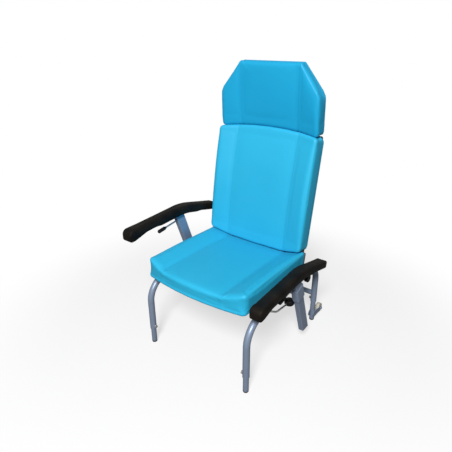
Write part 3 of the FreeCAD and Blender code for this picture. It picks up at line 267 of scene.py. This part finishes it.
def lacquer_colour(place):
    flake = place.cells(1400.0).ramp((0.15, 1.0), (0.7, 0.0))
    cloud = place.noise(7.0, 3.0).ramp((0.3, 0.0), (0.7, 1.0))
    paint = cloud.mix((0.212, 0.270, 0.376), (0.240, 0.303, 0.415))
    sparkle = (flake * 0.30).mix(paint, (0.36, 0.43, 0.56))
    low = 1.0 - place.axis(2) / 0.16
    scuff = place.noise(90.0, 4.0, 0.65).ramp((0.56, 0.0), (0.66, 1.0))
    worn = (scuff * low.node("ShaderNodeClamp", None, {"Value": low})) * 0.35
    return worn.mix(sparkle, (0.11, 0.13, 0.17))


def lacquer_roughness(place):
    return place.noise(60.0, 4.0) * 0.16 + 0.30


def lacquer_height(place):
    peel = place.noise(330.0, 1.0)
    flake = place.cells(1400.0)
    return peel + flake * 0.15


lacquer = finish("blue_grey_lacquer", lacquer_colour, lacquer_roughness, lacquer_height, 0.00012,
                 Metallic=0.25, Specular_IOR_Level=0.4)
print("made", lacquer.name)

# %% [markdown]
# The cushions are covered with a smooth coated cloth of the kind that wipes clean. It has a very fine
# pebble grain, a soft gloss, and slight changes of tone where it is stretched. Its folds are painted a
# little darker, as painted shade in the creases. The mesh carries a `fold` attribute that is 1 in the folds,
# so the painted shade follows the sewing. The headrest's cover is painted in darker tones, as painted
# shade over the whole headrest, so the tones of the cloth are arguments.

# %% Sky-blue coated cloth


def cloth_colour(pale, deep):
    """The cloth's colour as a function of place, between two tones of its dye, with painted shade in the
    folds.
    """

    def colour(place):
        drift = place.noise(4.0, 3.0).ramp((0.3, 0.0), (0.7, 1.0))
        fine = place.noise(420.0, 2.0)
        tone = (drift * 0.7 + fine * 0.3).mix(deep, pale)
        fold = place.node("ShaderNodeAttribute", {"attribute_name": "fold"}, None, "Fac")
        # painted shade: the folds are mixed toward a darker blue by the fold attribute
        return (fold * 0.14).mix(tone, (0.002, 0.20, 0.42))

    return colour


def cloth_roughness(place):
    return place.noise(11.0, 3.0) * 0.14 + place.noise(700.0, 1.0) * 0.08 + 0.40


def cloth_height(place):
    pebble = place.cells(820.0, "SMOOTH_F1")
    pores = place.noise(2300.0, 2.0)
    slack = place.noise(26.0, 2.0)
    return pebble * 0.5 + pores * 0.25 + slack * 1.6


cover_cloth = finish("sky_blue_coated_cloth", cloth_colour((0.027, 0.450, 0.712), (0.021, 0.408, 0.660)),
                     cloth_roughness, cloth_height, 0.00022, Specular_IOR_Level=0.30)
# painted shade: the headrest's cloth takes darker tones so that the whole headrest renders as if in shade
headrest_shade_cloth = finish("sky_blue_cloth_painted_shade", cloth_colour((0.011, 0.375, 0.650), (0.008, 0.340, 0.605)),
                    cloth_roughness, cloth_height, 0.00022, Specular_IOR_Level=0.30)
print("made", cover_cloth.name, "and", headrest_shade_cloth.name)

# %% [markdown]
# The next finishes cover small parts: birch plywood under the cushions, zinc on the screws, moulded black and
# grey plastic, the foam skin of the armrests and the rubber of the feet. Each has a grain of its own scale.

# %% Plywood, zinc and plastics
PLY = 0.0016


def plywood_colour(place):
    warp = place.noise(9.0, 3.0)
    grain = place.mapped((2.0, 26.0, 26.0)).noise(3.0, 5.0, 0.6, 0.8)
    pores = place.mapped((14.0, 420.0, 420.0)).noise(1.6, 2.0)
    veneer = (grain * 0.7 + pores * 0.2 + warp * 0.1).mix((0.36, 0.235, 0.125), (0.66, 0.49, 0.31))
    layer = place.maths("FRACT", (place.axis(2) + place.axis(1)) / (2 * PLY))
    return (layer.ramp((0.45, 0.0), (0.55, 1.0)) * 0.22).mix(veneer, (0.24, 0.15, 0.08))


def plywood_height(place):
    return place.mapped((14.0, 420.0, 420.0)).noise(1.6, 3.0)


plywood = finish("birch_plywood", plywood_colour, lambda place: place.noise(40.0, 3.0) * 0.2 + 0.5,
                 plywood_height, 0.0003, Specular_IOR_Level=0.3)


def zinc_colour(place):
    bloom = place.noise(240.0, 4.0, 0.6)
    return bloom.ramp((0.35, 0.0), (0.7, 1.0)).mix((0.60, 0.585, 0.54), (0.77, 0.76, 0.73))


zinc = finish("zinc_plate", zinc_colour, lambda place: place.noise(420.0, 3.0) * 0.25 + 0.22,
              lambda place: place.noise(900.0, 2.0), 0.00005, Metallic=1.0)


def black_colour(place):
    return place.noise(30.0, 4.0).mix((0.0085, 0.0085, 0.009), (0.019, 0.018, 0.017))


black_plastic = finish("moulded_black_plastic", black_colour,
                       lambda place: place.noise(55.0, 3.0) * 0.2 + 0.38,
                       lambda place: place.noise(1500.0, 2.0), 0.00012, Specular_IOR_Level=0.16)

grey_plastic = finish("moulded_grey_plastic",
                      lambda place: place.noise(30.0, 4.0).mix((0.130, 0.160, 0.215), (0.165, 0.200, 0.260)),
                      lambda place: place.noise(55.0, 3.0) * 0.2 + 0.42,
                      lambda place: place.noise(1500.0, 2.0), 0.00012, Specular_IOR_Level=0.3)


def skin_colour(place):
    rubbed = place.noise(16.0, 4.0).ramp((0.35, 0.0), (0.75, 1.0))
    return rubbed.mix((0.0060, 0.0055, 0.0052), (0.0150, 0.0120, 0.0088))


def skin_height(place):
    crease = place.cells(430.0, "DISTANCE_TO_EDGE").ramp((0.0, 0.0), (0.12, 1.0))
    return crease * 0.6 + place.noise(1100.0, 3.0) * 0.4


foam_skin = finish("black_foam_skin", skin_colour, lambda place: place.noise(24.0, 4.0) * 0.2 + 0.40,
                   skin_height, 0.00025, Specular_IOR_Level=0.08)


def rubber_colour(place):
    dust = place.noise(120.0, 4.0).ramp((0.45, 0.0), (0.8, 1.0))
    low = place.node("ShaderNodeClamp", None, {"Value": 1.0 - place.axis(2) / 0.012})
    return (dust * 0.5 + low * 0.35).mix((0.016, 0.016, 0.017), (0.085, 0.082, 0.077))


foot_rubber = finish("dark_foot_rubber", rubber_colour, lambda place: place.noise(80.0, 3.0) * 0.2 + 0.62,
                     lambda place: place.noise(700.0, 3.0), 0.0002, Specular_IOR_Level=0.3)
print("made", [m.name for m in (plywood, zinc, black_plastic, grey_plastic, foam_skin, foot_rubber)])

# %% [markdown]
# Chrome is a mirror with faint wipe marks, so its roughness is drawn out along the rod. The gas spring has a
# smooth black lacquer, and the wheels are pale plastic with grime in patches.

# %% Chrome, gas spring and wheel


def chrome_roughness(place):
    wipe = place.mapped((30.0, 30.0, 900.0)).noise(1.0, 3.0)
    return wipe.ramp((0.4, 0.0), (0.75, 1.0)) * 0.10 + 0.07


chrome = finish("chrome_plate",
                lambda place: place.noise(35.0, 3.0).mix((0.88, 0.86, 0.81), (0.96, 0.95, 0.92)),
                chrome_roughness, lambda place: place.noise(500.0, 2.0), 0.00002, Metallic=1.0)

dull_chrome = finish("dull_chrome_plate",
                     lambda place: place.noise(60.0, 4.0).mix((0.50, 0.50, 0.52), (0.62, 0.62, 0.63)),
                     lambda place: place.noise(140.0, 3.0) * 0.2 + 0.34,
                     lambda place: place.noise(500.0, 2.0), 0.00003, Metallic=0.35)

spring_black = finish("gas_spring_black",
                      lambda place: place.noise(45.0, 4.0).mix((0.010, 0.010, 0.011), (0.024, 0.024, 0.025)),
                      lambda place: place.noise(70.0, 3.0) * 0.18 + 0.26,
                      lambda place: place.noise(380.0, 1.0), 0.00006, Specular_IOR_Level=0.5)


def wheel_colour(place):
    grime = place.noise(70.0, 5.0, 0.65).ramp((0.42, 0.0), (0.72, 1.0))
    clean = place.noise(9.0, 2.0).mix((0.54, 0.51, 0.42), (0.63, 0.60, 0.51))
    return (grime * 0.4).mix(clean, (0.23, 0.21, 0.17))


wheel_plastic = finish("pale_wheel_plastic", wheel_colour, lambda place: place.noise(90.0, 3.0) * 0.2 + 0.36,
                       lambda place: place.noise(600.0, 3.0), 0.0002, Specular_IOR_Level=0.4)
print("made", [m.name for m in (chrome, dull_chrome, spring_black, wheel_plastic)])

# %% [markdown]
# The packed record says which finish each CAD node takes, so the nodes are dressed by its list of slots.
# The two arm levers are plated like the recline rod, but hands have rubbed them dull.

# %% Dress the CAD nodes
FINISHES = {
    "frame_lacquer": lacquer, "upholstery": cover_cloth, "plywood": plywood, "zinc": zinc,
    "black_plastic": black_plastic, "grey_plastic": grey_plastic, "pad": foam_skin,
    "foot_rubber": foot_rubber, "chrome": chrome, "gas_spring": spring_black, "wheel": wheel_plastic,
}
RUBBED_DULL = ("arm_lever_left", "arm_lever_right")
SMOOTH_ANGLE = math.radians(32)


def pick(piece):
    """Makes one object the only selected one, and active."""
    bpy.ops.object.select_all(action="DESELECT")
    piece.select_set(True)
    bpy.context.view_layer.objects.active = piece


for part in frame["record"]["subparts"]:
    node = frame["nodes"][part["node"]]
    node.data.materials.clear()
    look = dull_chrome if part["node"] in RUBBED_DULL else FINISHES[part["material_slot"]]
    node.data.materials.append(look)

# %% [markdown]
# Each cushion is foam in a sewn cover. A copy of its CAD solid is drawn in a little, rebuilt as even
# squares, and blown up as cloth from inside, so its panels fill out between the places that hold them:
# the base, which lies on a board, and the two folds where the cover is sewn down. How far a point may
# move is capped, which keeps each cushion clear of its neighbours and in the space of its solid.

# %% Helpers for stuffed pieces
CLOTH_FRAMES = 20
PRESSURE = 4.0
MERGE_DISTANCE = 0.00002
LEAST_HOLD = 0.01


def points_of(piece):
    flat = np.empty(3 * len(piece.data.vertices))
    piece.data.vertices.foreach_get("co", flat)
    return flat.reshape(-1, 3)


def set_points(piece, points):
    piece.data.vertices.foreach_set("co", points.ravel())
    piece.data.update()


def normals_of(piece):
    flat = np.empty(3 * len(piece.data.vertices))
    piece.data.vertex_normals.foreach_get("vector", flat)
    return flat.reshape(-1, 3)


def merged_copy(node, name):
    """A copy of a CAD node's mesh with its loose triangles joined up."""
    piece = bpy.data.objects.new(name, frame["nodes"][node].data.copy())
    piece.data.name = name
    scene.collection.objects.link(piece)
    pick(piece)
    bpy.ops.object.mode_set(mode="EDIT")
    bpy.ops.mesh.select_all(action="SELECT")
    bpy.ops.mesh.remove_doubles(threshold=MERGE_DISTANCE)
    bpy.ops.object.mode_set(mode="OBJECT")
    return piece


def apply(piece, kind, **settings):
    """Adds a modifier to the piece and applies it."""
    pick(piece)
    bpy.ops.object.modifier_add(type=kind)
    modifier = piece.modifiers[-1]
    for name, value in settings.items():
        setattr(modifier, name, value)
    bpy.ops.object.modifier_apply(modifier=modifier.name)


def ease(value, start, end):
    """0 before start, 1 after end and smooth between."""
    t = np.clip((value - start) / (end - start), 0.0, 1.0)
    return t * t * (3.0 - 2.0 * t)


def stuff(piece, free, inset, cap):
    """Draws the piece in where it is free, then blows it up as cloth. free is 0 where it is held."""
    set_points(piece, points_of(piece) - normals_of(piece) * (inset * free)[:, None])
    start = points_of(piece)
    held = piece.vertex_groups.new(name="held")
    for index, weight in enumerate(1.0 - free):
        if weight > LEAST_HOLD:
            held.add([index], float(weight), "REPLACE")
    pick(piece)
    bpy.ops.object.modifier_add(type="CLOTH")
    cloth = piece.modifiers[-1]
    cloth.settings.use_pressure = True
    cloth.settings.uniform_pressure_force = PRESSURE
    cloth.settings.effector_weights.gravity = 0.0
    cloth.settings.vertex_group_mass = "held"
    cloth.point_cache.frame_start = 1
    cloth.point_cache.frame_end = CLOTH_FRAMES
    for step in range(1, CLOTH_FRAMES + 1):
        scene.frame_set(step)
    bpy.ops.object.modifier_apply(modifier=cloth.name)
    scene.frame_set(1)
    moved = points_of(piece) - start
    length = np.linalg.norm(moved, axis=1)
    keep = cap * np.tanh(length / cap) / np.maximum(length, 1e-9)
    set_points(piece, start + moved * keep[:, None])
    piece.vertex_groups.clear()
    return float(length.max())


def stands_proud(piece, node):
    """Least, mean and most height of the piece's points over the CAD node's surface, in mm."""
    mesh = frame["nodes"][node].data
    tree = BVHTree.FromPolygons([v.co for v in mesh.vertices], [p.vertices[:] for p in mesh.polygons])
    heights = []
    for vertex in piece.data.vertices:
        near, normal, _, distance = tree.find_nearest(vertex.co)
        heights.append(math.copysign(distance, (vertex.co - near).dot(normal)) * 1000)
    return min(heights), sum(heights) / len(heights), max(heights)


def report(piece, node, moved):
    low, mean, high = stands_proud(piece, node)
    print(f"{piece.name}: {len(piece.data.polygons)} faces, swelled {moved * 1000:.1f} mm, stands "
          f"{low:.1f} / {mean:.1f} / {high:.1f} mm proud of its solid")


print("helpers ready, cloth runs", CLOTH_FRAMES, "frames at pressure", PRESSURE)

# %% [markdown]
# The three cushions are drawn in frames of their own: across the chair, along the cushion, and out from
# its board. Written that way, one rule serves all three. A cushion is held on its base, along the edges
# that meet a neighbour, and along its two folds. Everything else is free to swell.

# %% Sizes of the cushions
VOXEL = 0.005
CUSHION_INSET = 0.0015
CUSHION_CAP = 0.0028
FOLD_WIDTH = 0.0035
FOLD_DEPTH = 0.0006
FOLD_PULL = 0.0022
END_HALF = 0.250
BOW_PLACE = 0.030
BOW_REACH = 0.010
# where a rule starts to work and where it works fully, in metres, or as the cosine of a slope
BASE_HOLD = (0.004, 0.022)
LOW_HOLD = (0.034, 0.075)
HIGH_HOLD = (0.022, 0.060)
FOLD_HOLD = (0.001, 0.020)
SEWN_HEIGHT = (0.030, 0.048)
SEWN_FACING = (0.2, 0.6)
END_HEIGHT = (0.002, 0.012)
END_FACING = (0.1, 0.6)
CUSHIONS = {
    # origin (y, z) and turn about X in degrees: the cushion's own frame. base: height of its underside.
    # fold: how far the folds lie from the middle. along: its two ends. held: which ends may not swell.
    # ends: those that close on the next cushion, -1 the low one and 1 the high one. Each stands out at
    # the middle, by a flare more at the sides and by a bulge near one place across, and its bow rounds it
    # up behind the front edge, so that no light shows through the joint.
    "seat_cushion": {
        "origin": (-0.352, 0.374), "turn": -2.1, "base": 0.0, "fold": 0.157, "along": (0.0, 0.516),
        "held": (False, True), "ends": {}},
    "back_cushion": {
        "origin": (0.200, 0.455), "turn": 80.4, "base": 0.008, "fold": 0.157, "along": (-0.035, 0.519),
        "held": (True, True),
        "ends": {-1: {"middle": 0.0044, "flare": 0.0, "bulge": 0.0065, "place": 0.150, "reach": 0.050,
                      "bow": 0.0},
                 1: {"middle": 0.0013, "flare": 0.0003, "bulge": 0.0, "place": 0.130, "reach": 0.015,
                     "bow": 0.0045}}},
    "headrest_cushion": {
        "origin": (0.28604, 0.95769), "turn": 94.0, "base": 0.008, "fold": 0.145, "along": (0.003, 0.297),
        "held": (True, False),
        "ends": {-1: {"middle": 0.0013, "flare": 0.0003, "bulge": 0.0010, "place": 0.128, "reach": 0.015,
                      "bow": 0.0}}},
}
print("sizes of", ", ".join(CUSHIONS))

# %% [markdown]
# A cushion goes through four steps. It is rebuilt as even squares and stuffed, then it is sewn down at its
# folds, and at last its ends close on its neighbours. Each step is a function of its own.

# %% Steps of making a cushion


def rise(value, base, limits):
    """0 to 1 between two limits over a base."""
    return ease(value, base + limits[0], base + limits[1])


def in_cushion(points, origin, turn):
    """Points as (across, along, out) of a cushion's own frame."""
    y, z = points[:, 1] - origin[0], points[:, 2] - origin[1]
    c, s = math.cos(math.radians(turn)), math.sin(math.radians(turn))
    return points[:, 0], y * c + z * s, z * c - y * s


def even_out(piece, node, voxel):
    """Rebuilds the piece as even squares, then lays them back on the surface that they came from."""
    target = merged_copy(node, "target")
    apply(piece, "REMESH", mode="VOXEL", voxel_size=voxel, use_smooth_shade=True)
    apply(piece, "SMOOTH", factor=0.5, iterations=2)
    apply(piece, "SHRINKWRAP", target=target, wrap_method="NEAREST_SURFACEPOINT")
    apply(piece, "SMOOTH", factor=0.25, iterations=1)
    bpy.data.objects.remove(target)


def sew(piece, x, fold, weight):
    """Draws points in to each fold and sinks them there, and marks how deep in the fold each point lies."""
    beside = np.abs(x) - fold
    share = np.exp(-(beside / FOLD_WIDTH) ** 2) * weight
    points = points_of(piece) - normals_of(piece) * (FOLD_DEPTH * share)[:, None]
    near = (np.abs(beside) < FOLD_PULL) & (weight > 0.0)
    points[near, 0] = (np.sign(x) * (fold + beside * np.abs(beside) / FOLD_PULL))[near]
    set_points(piece, points)
    # the fold mark sets how much painted shade the cloth's colour puts at each point
    mark = piece.data.attributes.new("fold", "FLOAT", "POINT")
    mark.data.foreach_set("value", share)


def close_end(piece, cushion, side, middle, flare, bulge, place, reach, bow):
    """Lets the end that meets the next cushion stand out until the two nearly touch."""
    turn = cushion["turn"]
    x, _, out = in_cushion(points_of(piece), cushion["origin"], turn)
    facing = side * in_cushion(normals_of(piece), (0.0, 0.0), turn)[1]
    swell = middle + flare * (x / END_HALF) ** 2 + bulge * np.exp(-((np.abs(x) - place) / reach) ** 2)
    swell += bow * np.exp(-((out - BOW_PLACE) / BOW_REACH) ** 2)
    share = ease(facing, *END_FACING) * rise(out, cushion["base"], END_HEIGHT)
    way = np.array((0.0, math.cos(math.radians(turn)), math.sin(math.radians(turn)))) * side
    set_points(piece, points_of(piece) + (swell * share)[:, None] * way)


def freedom(x, along, out, cushion):
    """How free each point of a cushion is to swell, from 0 where it is held to 1."""
    low, high = cushion["along"]
    hold_low, hold_high = cushion["held"]
    free = rise(out, cushion["base"], BASE_HOLD)
    if hold_low:
        free *= rise(along, low, LOW_HOLD)
    if hold_high:
        free *= ease(high - along, *HIGH_HOLD)
    return free * ease(np.abs(np.abs(x) - cushion["fold"]), *FOLD_HOLD)


print("steps ready, squares of", VOXEL * 1000, "mm")

# %% [markdown]
# With the steps at hand, the three cushions are made in turn. Each takes the place of its CAD solid and rides
# on the body that carries its board.

# %% Make the three cushions


def make_cushion(node, name, cloth):
    cushion = CUSHIONS[node]
    origin, turn, fold = cushion["origin"], cushion["turn"], cushion["fold"]
    piece = merged_copy(node, name)
    even_out(piece, node, VOXEL)
    free = freedom(*in_cushion(points_of(piece), origin, turn), cushion)
    moved = stuff(piece, free, CUSHION_INSET, CUSHION_CAP)
    apply(piece, "SUBSURF", levels=1, render_levels=1)
    x, _, out = in_cushion(points_of(piece), origin, turn)
    facing = in_cushion(normals_of(piece), (0.0, 0.0), turn)[2]
    sew(piece, x, fold, rise(out, cushion["base"], SEWN_HEIGHT) * ease(facing, *SEWN_FACING))
    for side, shape in cushion["ends"].items():
        close_end(piece, cushion, side, **shape)
    piece.data.materials.clear()
    piece.data.materials.append(cloth)
    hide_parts(node)
    report(piece, node, moved)
    return piece


seat_cover = make_cushion("seat_cushion", "seat_cover", cover_cloth)
back_cover = make_cushion("back_cushion", "back_cover", cover_cloth)
headrest_cover = make_cushion("headrest_cushion", "headrest_cover", headrest_shade_cloth)
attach(seat_cover, "base_frame")
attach(back_cover, "backrest")
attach(headrest_cover, "headrest")

# %% [markdown]
# An armrest is a bar of firm black foam with its own skin, moulded over a steel plate. It is stuffed like
# a cushion but hardly swells, its edges are rounded by one more round of smoothing, and the rim of its
# underside reaches down round the plate. The two armrests are mirror images at different heights, so one
# is made and the other is a mirrored copy of it, moved by the difference between the boxes of their nodes.

# %% Armrest pads
PAD_VOXEL = 0.0036
PAD_INSET = 0.0010
PAD_CAP = 0.0018
PAD_ROUNDS = 1
PLATE_DROP = 0.0052
PLATE_RUN = 0.045
PLATE_NEAR = 0.0005
PLATE_CLEAR = 0.0002
PAD_HOLD = (-0.7, 0.1)
RIM_FACING = (0.0, 0.5)


def wrap_plate(piece, plate):
    """Lowers the rim of the pad's underside, so that the foam hides the edge of the plate let into it."""
    corners = np.array([vertex.co for vertex in frame["nodes"][plate].data.vertices])
    inner, outer = corners[:, 0].min(), corners[:, 0].max()
    edge = corners[corners[:, 0] > outer - PLATE_NEAR, 1]
    points, normals = points_of(piece), normals_of(piece)
    rim = (points[:, 0] < inner - PLATE_CLEAR) | (points[:, 0] > outer + PLATE_CLEAR)
    span = ease(points[:, 1], edge.min() - PLATE_RUN, edge.min())
    span *= 1.0 - ease(points[:, 1], edge.max(), edge.max() + PLATE_RUN)
    points[:, 2] -= PLATE_DROP * rim * span * ease(-normals[:, 2], *RIM_FACING)
    set_points(piece, points)


def make_pad(node, plate, name):
    piece = merged_copy(node, name)
    even_out(piece, node, PAD_VOXEL)
    free = ease(normals_of(piece)[:, 2], *PAD_HOLD)
    moved = stuff(piece, free, PAD_INSET, PAD_CAP)
    apply(piece, "SMOOTH", factor=0.5, iterations=PAD_ROUNDS)
    apply(piece, "SUBSURF", levels=1, render_levels=1)
    wrap_plate(piece, plate)
    piece.data.materials.clear()
    piece.data.materials.append(foam_skin)
    report(piece, node, moved)
    return piece


def mirror_pad(piece, node, other, name):
    """A mirror copy of a pad, in the place of the other arm's CAD node."""
    pick(piece)
    bpy.ops.object.duplicate()
    copy = bpy.context.object
    copy.name = copy.data.name = name
    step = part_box(other)[0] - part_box(node)[0]
    points = points_of(copy) * (-1.0, 1.0, 1.0) + (0.0, step.y, step.z)
    set_points(copy, points)
    bpy.ops.object.mode_set(mode="EDIT")
    bpy.ops.mesh.select_all(action="SELECT")
    bpy.ops.mesh.normals_make_consistent(inside=False)
    bpy.ops.object.mode_set(mode="OBJECT")
    return copy


left_pad = make_pad("armrest_pad_left", "arm_upright_left", "left_armrest")
right_pad = mirror_pad(left_pad, "armrest_pad_left", "armrest_pad_right", "right_armrest")
for pad, side in ((left_pad, "left"), (right_pad, "right")):
    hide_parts(f"armrest_pad_{side}")
    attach(pad, f"{side}_arm")

# %% [markdown]
# The boards are bolted to the frame and the armrests are screwed to their plates. A bolt has a hexagon head
# with a chamfered top on a washer. A screw has a domed head with a round recess. Each is modelled once,
# standing on the floor at the middle.

# %% Models of the fasteners
WASHER_R = 0.0080
WASHER_H = 0.0016
BOLT_R = 0.0058
BOLT_H = 0.0042
BOLT_CHAMFER = 0.0009
SCREW_R = 0.0046
SCREW_RIM = 0.0014
SCREW_DOME = 0.0009
SCREW_RECESS = 0.0012
SEAT_BOLT_X = 0.150
BACK_SCREW_X = 0.220
BACK_SCREW_Z = (0.560, 0.800)
BEHIND_BACK = 0.6
BEHIND_DROP = 0.3
PAD_SCREWS_Y = (0.0184, 0.0644)
WASHER_SIDES = 28
SCREW_SIDES = 24
SCREW_STEPS = ((0.22, 0.7 * SCREW_DOME), (0.30, 0.3 * SCREW_DOME), (0.08, -SCREW_RECESS))


def raise_top(thickness, height):
    """Insets the top face of the piece in edit mode, and lifts it."""
    bpy.ops.mesh.inset(thickness=thickness, depth=0.0)
    bpy.ops.transform.translate(value=(0.0, 0.0, height))


def edit_top(piece):
    """Goes into edit mode with only the top face selected."""
    pick(piece)
    bpy.ops.object.mode_set(mode="EDIT")
    bpy.ops.mesh.select_mode(type="FACE")
    mesh = bmesh.from_edit_mesh(piece.data)
    for face in mesh.faces:
        face.select_set(face.normal.z > 0.9)
    bmesh.update_edit_mesh(piece.data)


def make_bolt():
    bpy.ops.object.select_all(action="DESELECT")
    bpy.ops.mesh.primitive_cylinder_add(vertices=WASHER_SIDES, radius=WASHER_R, depth=WASHER_H,
                                        location=(0, 0, WASHER_H / 2))
    washer = bpy.context.object
    apply(washer, "BEVEL", width=WASHER_H / 4, segments=2)
    bpy.ops.mesh.primitive_cylinder_add(vertices=6, radius=BOLT_R, depth=BOLT_H,
                                        location=(0, 0, WASHER_H + BOLT_H / 2))
    head = bpy.context.object
    edit_top(head)
    raise_top(BOLT_CHAMFER, BOLT_CHAMFER / 2)
    bpy.ops.object.mode_set(mode="OBJECT")
    washer.select_set(True)
    bpy.ops.object.join()
    bpy.ops.object.transform_apply(location=True)
    return bpy.context.object


def make_screw():
    bpy.ops.object.select_all(action="DESELECT")
    bpy.ops.mesh.primitive_cylinder_add(vertices=SCREW_SIDES, radius=SCREW_R, depth=SCREW_RIM,
                                        location=(0, 0, SCREW_RIM / 2))
    screw = bpy.context.object
    edit_top(screw)
    for share, height in SCREW_STEPS:
        raise_top(SCREW_R * share, height)
    bpy.ops.object.mode_set(mode="OBJECT")
    bpy.ops.object.transform_apply(location=True)
    return screw


bolt, screw = make_bolt(), make_screw()
print("modelled a bolt with", len(bolt.data.polygons), "faces and a screw with", len(screw.data.polygons))

# %% [markdown]
# To set a copy, a line is drawn toward the part that the fastener holds. Where it meets the surface is the
# fastener's place, and the surface's normal is the way that its head looks out.

# %% Set the fasteners


def drive(model, name, body, lines):
    """Joins copies of a fastener, one for each (node, start, way) line, standing on the surface it meets."""
    copies = []
    for node, start, way in lines:
        mesh = frame["nodes"][node].data
        tree = BVHTree.FromPolygons([v.co for v in mesh.vertices], [p.vertices[:] for p in mesh.polygons])
        place, normal, _, _ = tree.ray_cast(Vector(start), Vector(way))
        pick(model)
        bpy.ops.object.duplicate()
        copy = bpy.context.object
        upright = Vector((0.0, 0.0, 1.0)).rotation_difference(normal).to_matrix().to_4x4()
        copy.matrix_world = Matrix.Translation(place) @ upright
        bpy.ops.object.transform_apply()
        copies.append(copy)
    for copy in copies:
        copy.select_set(True)
    bpy.ops.object.join()
    piece = bpy.context.object
    piece.name = piece.data.name = name
    bpy.ops.object.shade_smooth_by_angle(angle=SMOOTH_ANGLE)
    piece.data.materials.clear()
    piece.data.materials.append(zinc)
    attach(piece, body)
    print(f"{name}: {len(lines)} set on {sorted({line[0] for line in lines})}")
    return piece


def middle(node):
    low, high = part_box(node)
    return (low + high) / 2


UP = (0.0, 0.0, 1.0)
seat_lines = [(bar, (x, middle(bar).y, 0.0), UP)
              for bar in ("front_seat_bar", "rear_seat_bar") for x in (-SEAT_BOLT_X, SEAT_BOLT_X)]
drive(bolt, "seat_bolts", "base_frame", seat_lines)
back_lean = math.radians(90.0 - CUSHIONS["back_cushion"]["turn"])
toward = (0.0, -math.cos(back_lean), math.sin(back_lean))
back_lines = [(f"back_upright_{side}", (x, BEHIND_BACK, z - BEHIND_DROP * math.tan(back_lean)), toward)
              for side, x in (("left", BACK_SCREW_X), ("right", -BACK_SCREW_X)) for z in BACK_SCREW_Z]
drive(screw, "back_board_screws", "backrest", back_lines)
for side in ("left", "right"):
    plate = f"arm_upright_{side}"
    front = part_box(plate)[0].y
    pad_lines = [(plate, (middle(plate).x, front + step, 0.0), UP) for step in PAD_SCREWS_Y]
    drive(screw, f"{side}_armrest_screws", f"{side}_arm", pad_lines)
for model in (bolt, screw):
    bpy.data.objects.remove(model)

# %% [markdown]
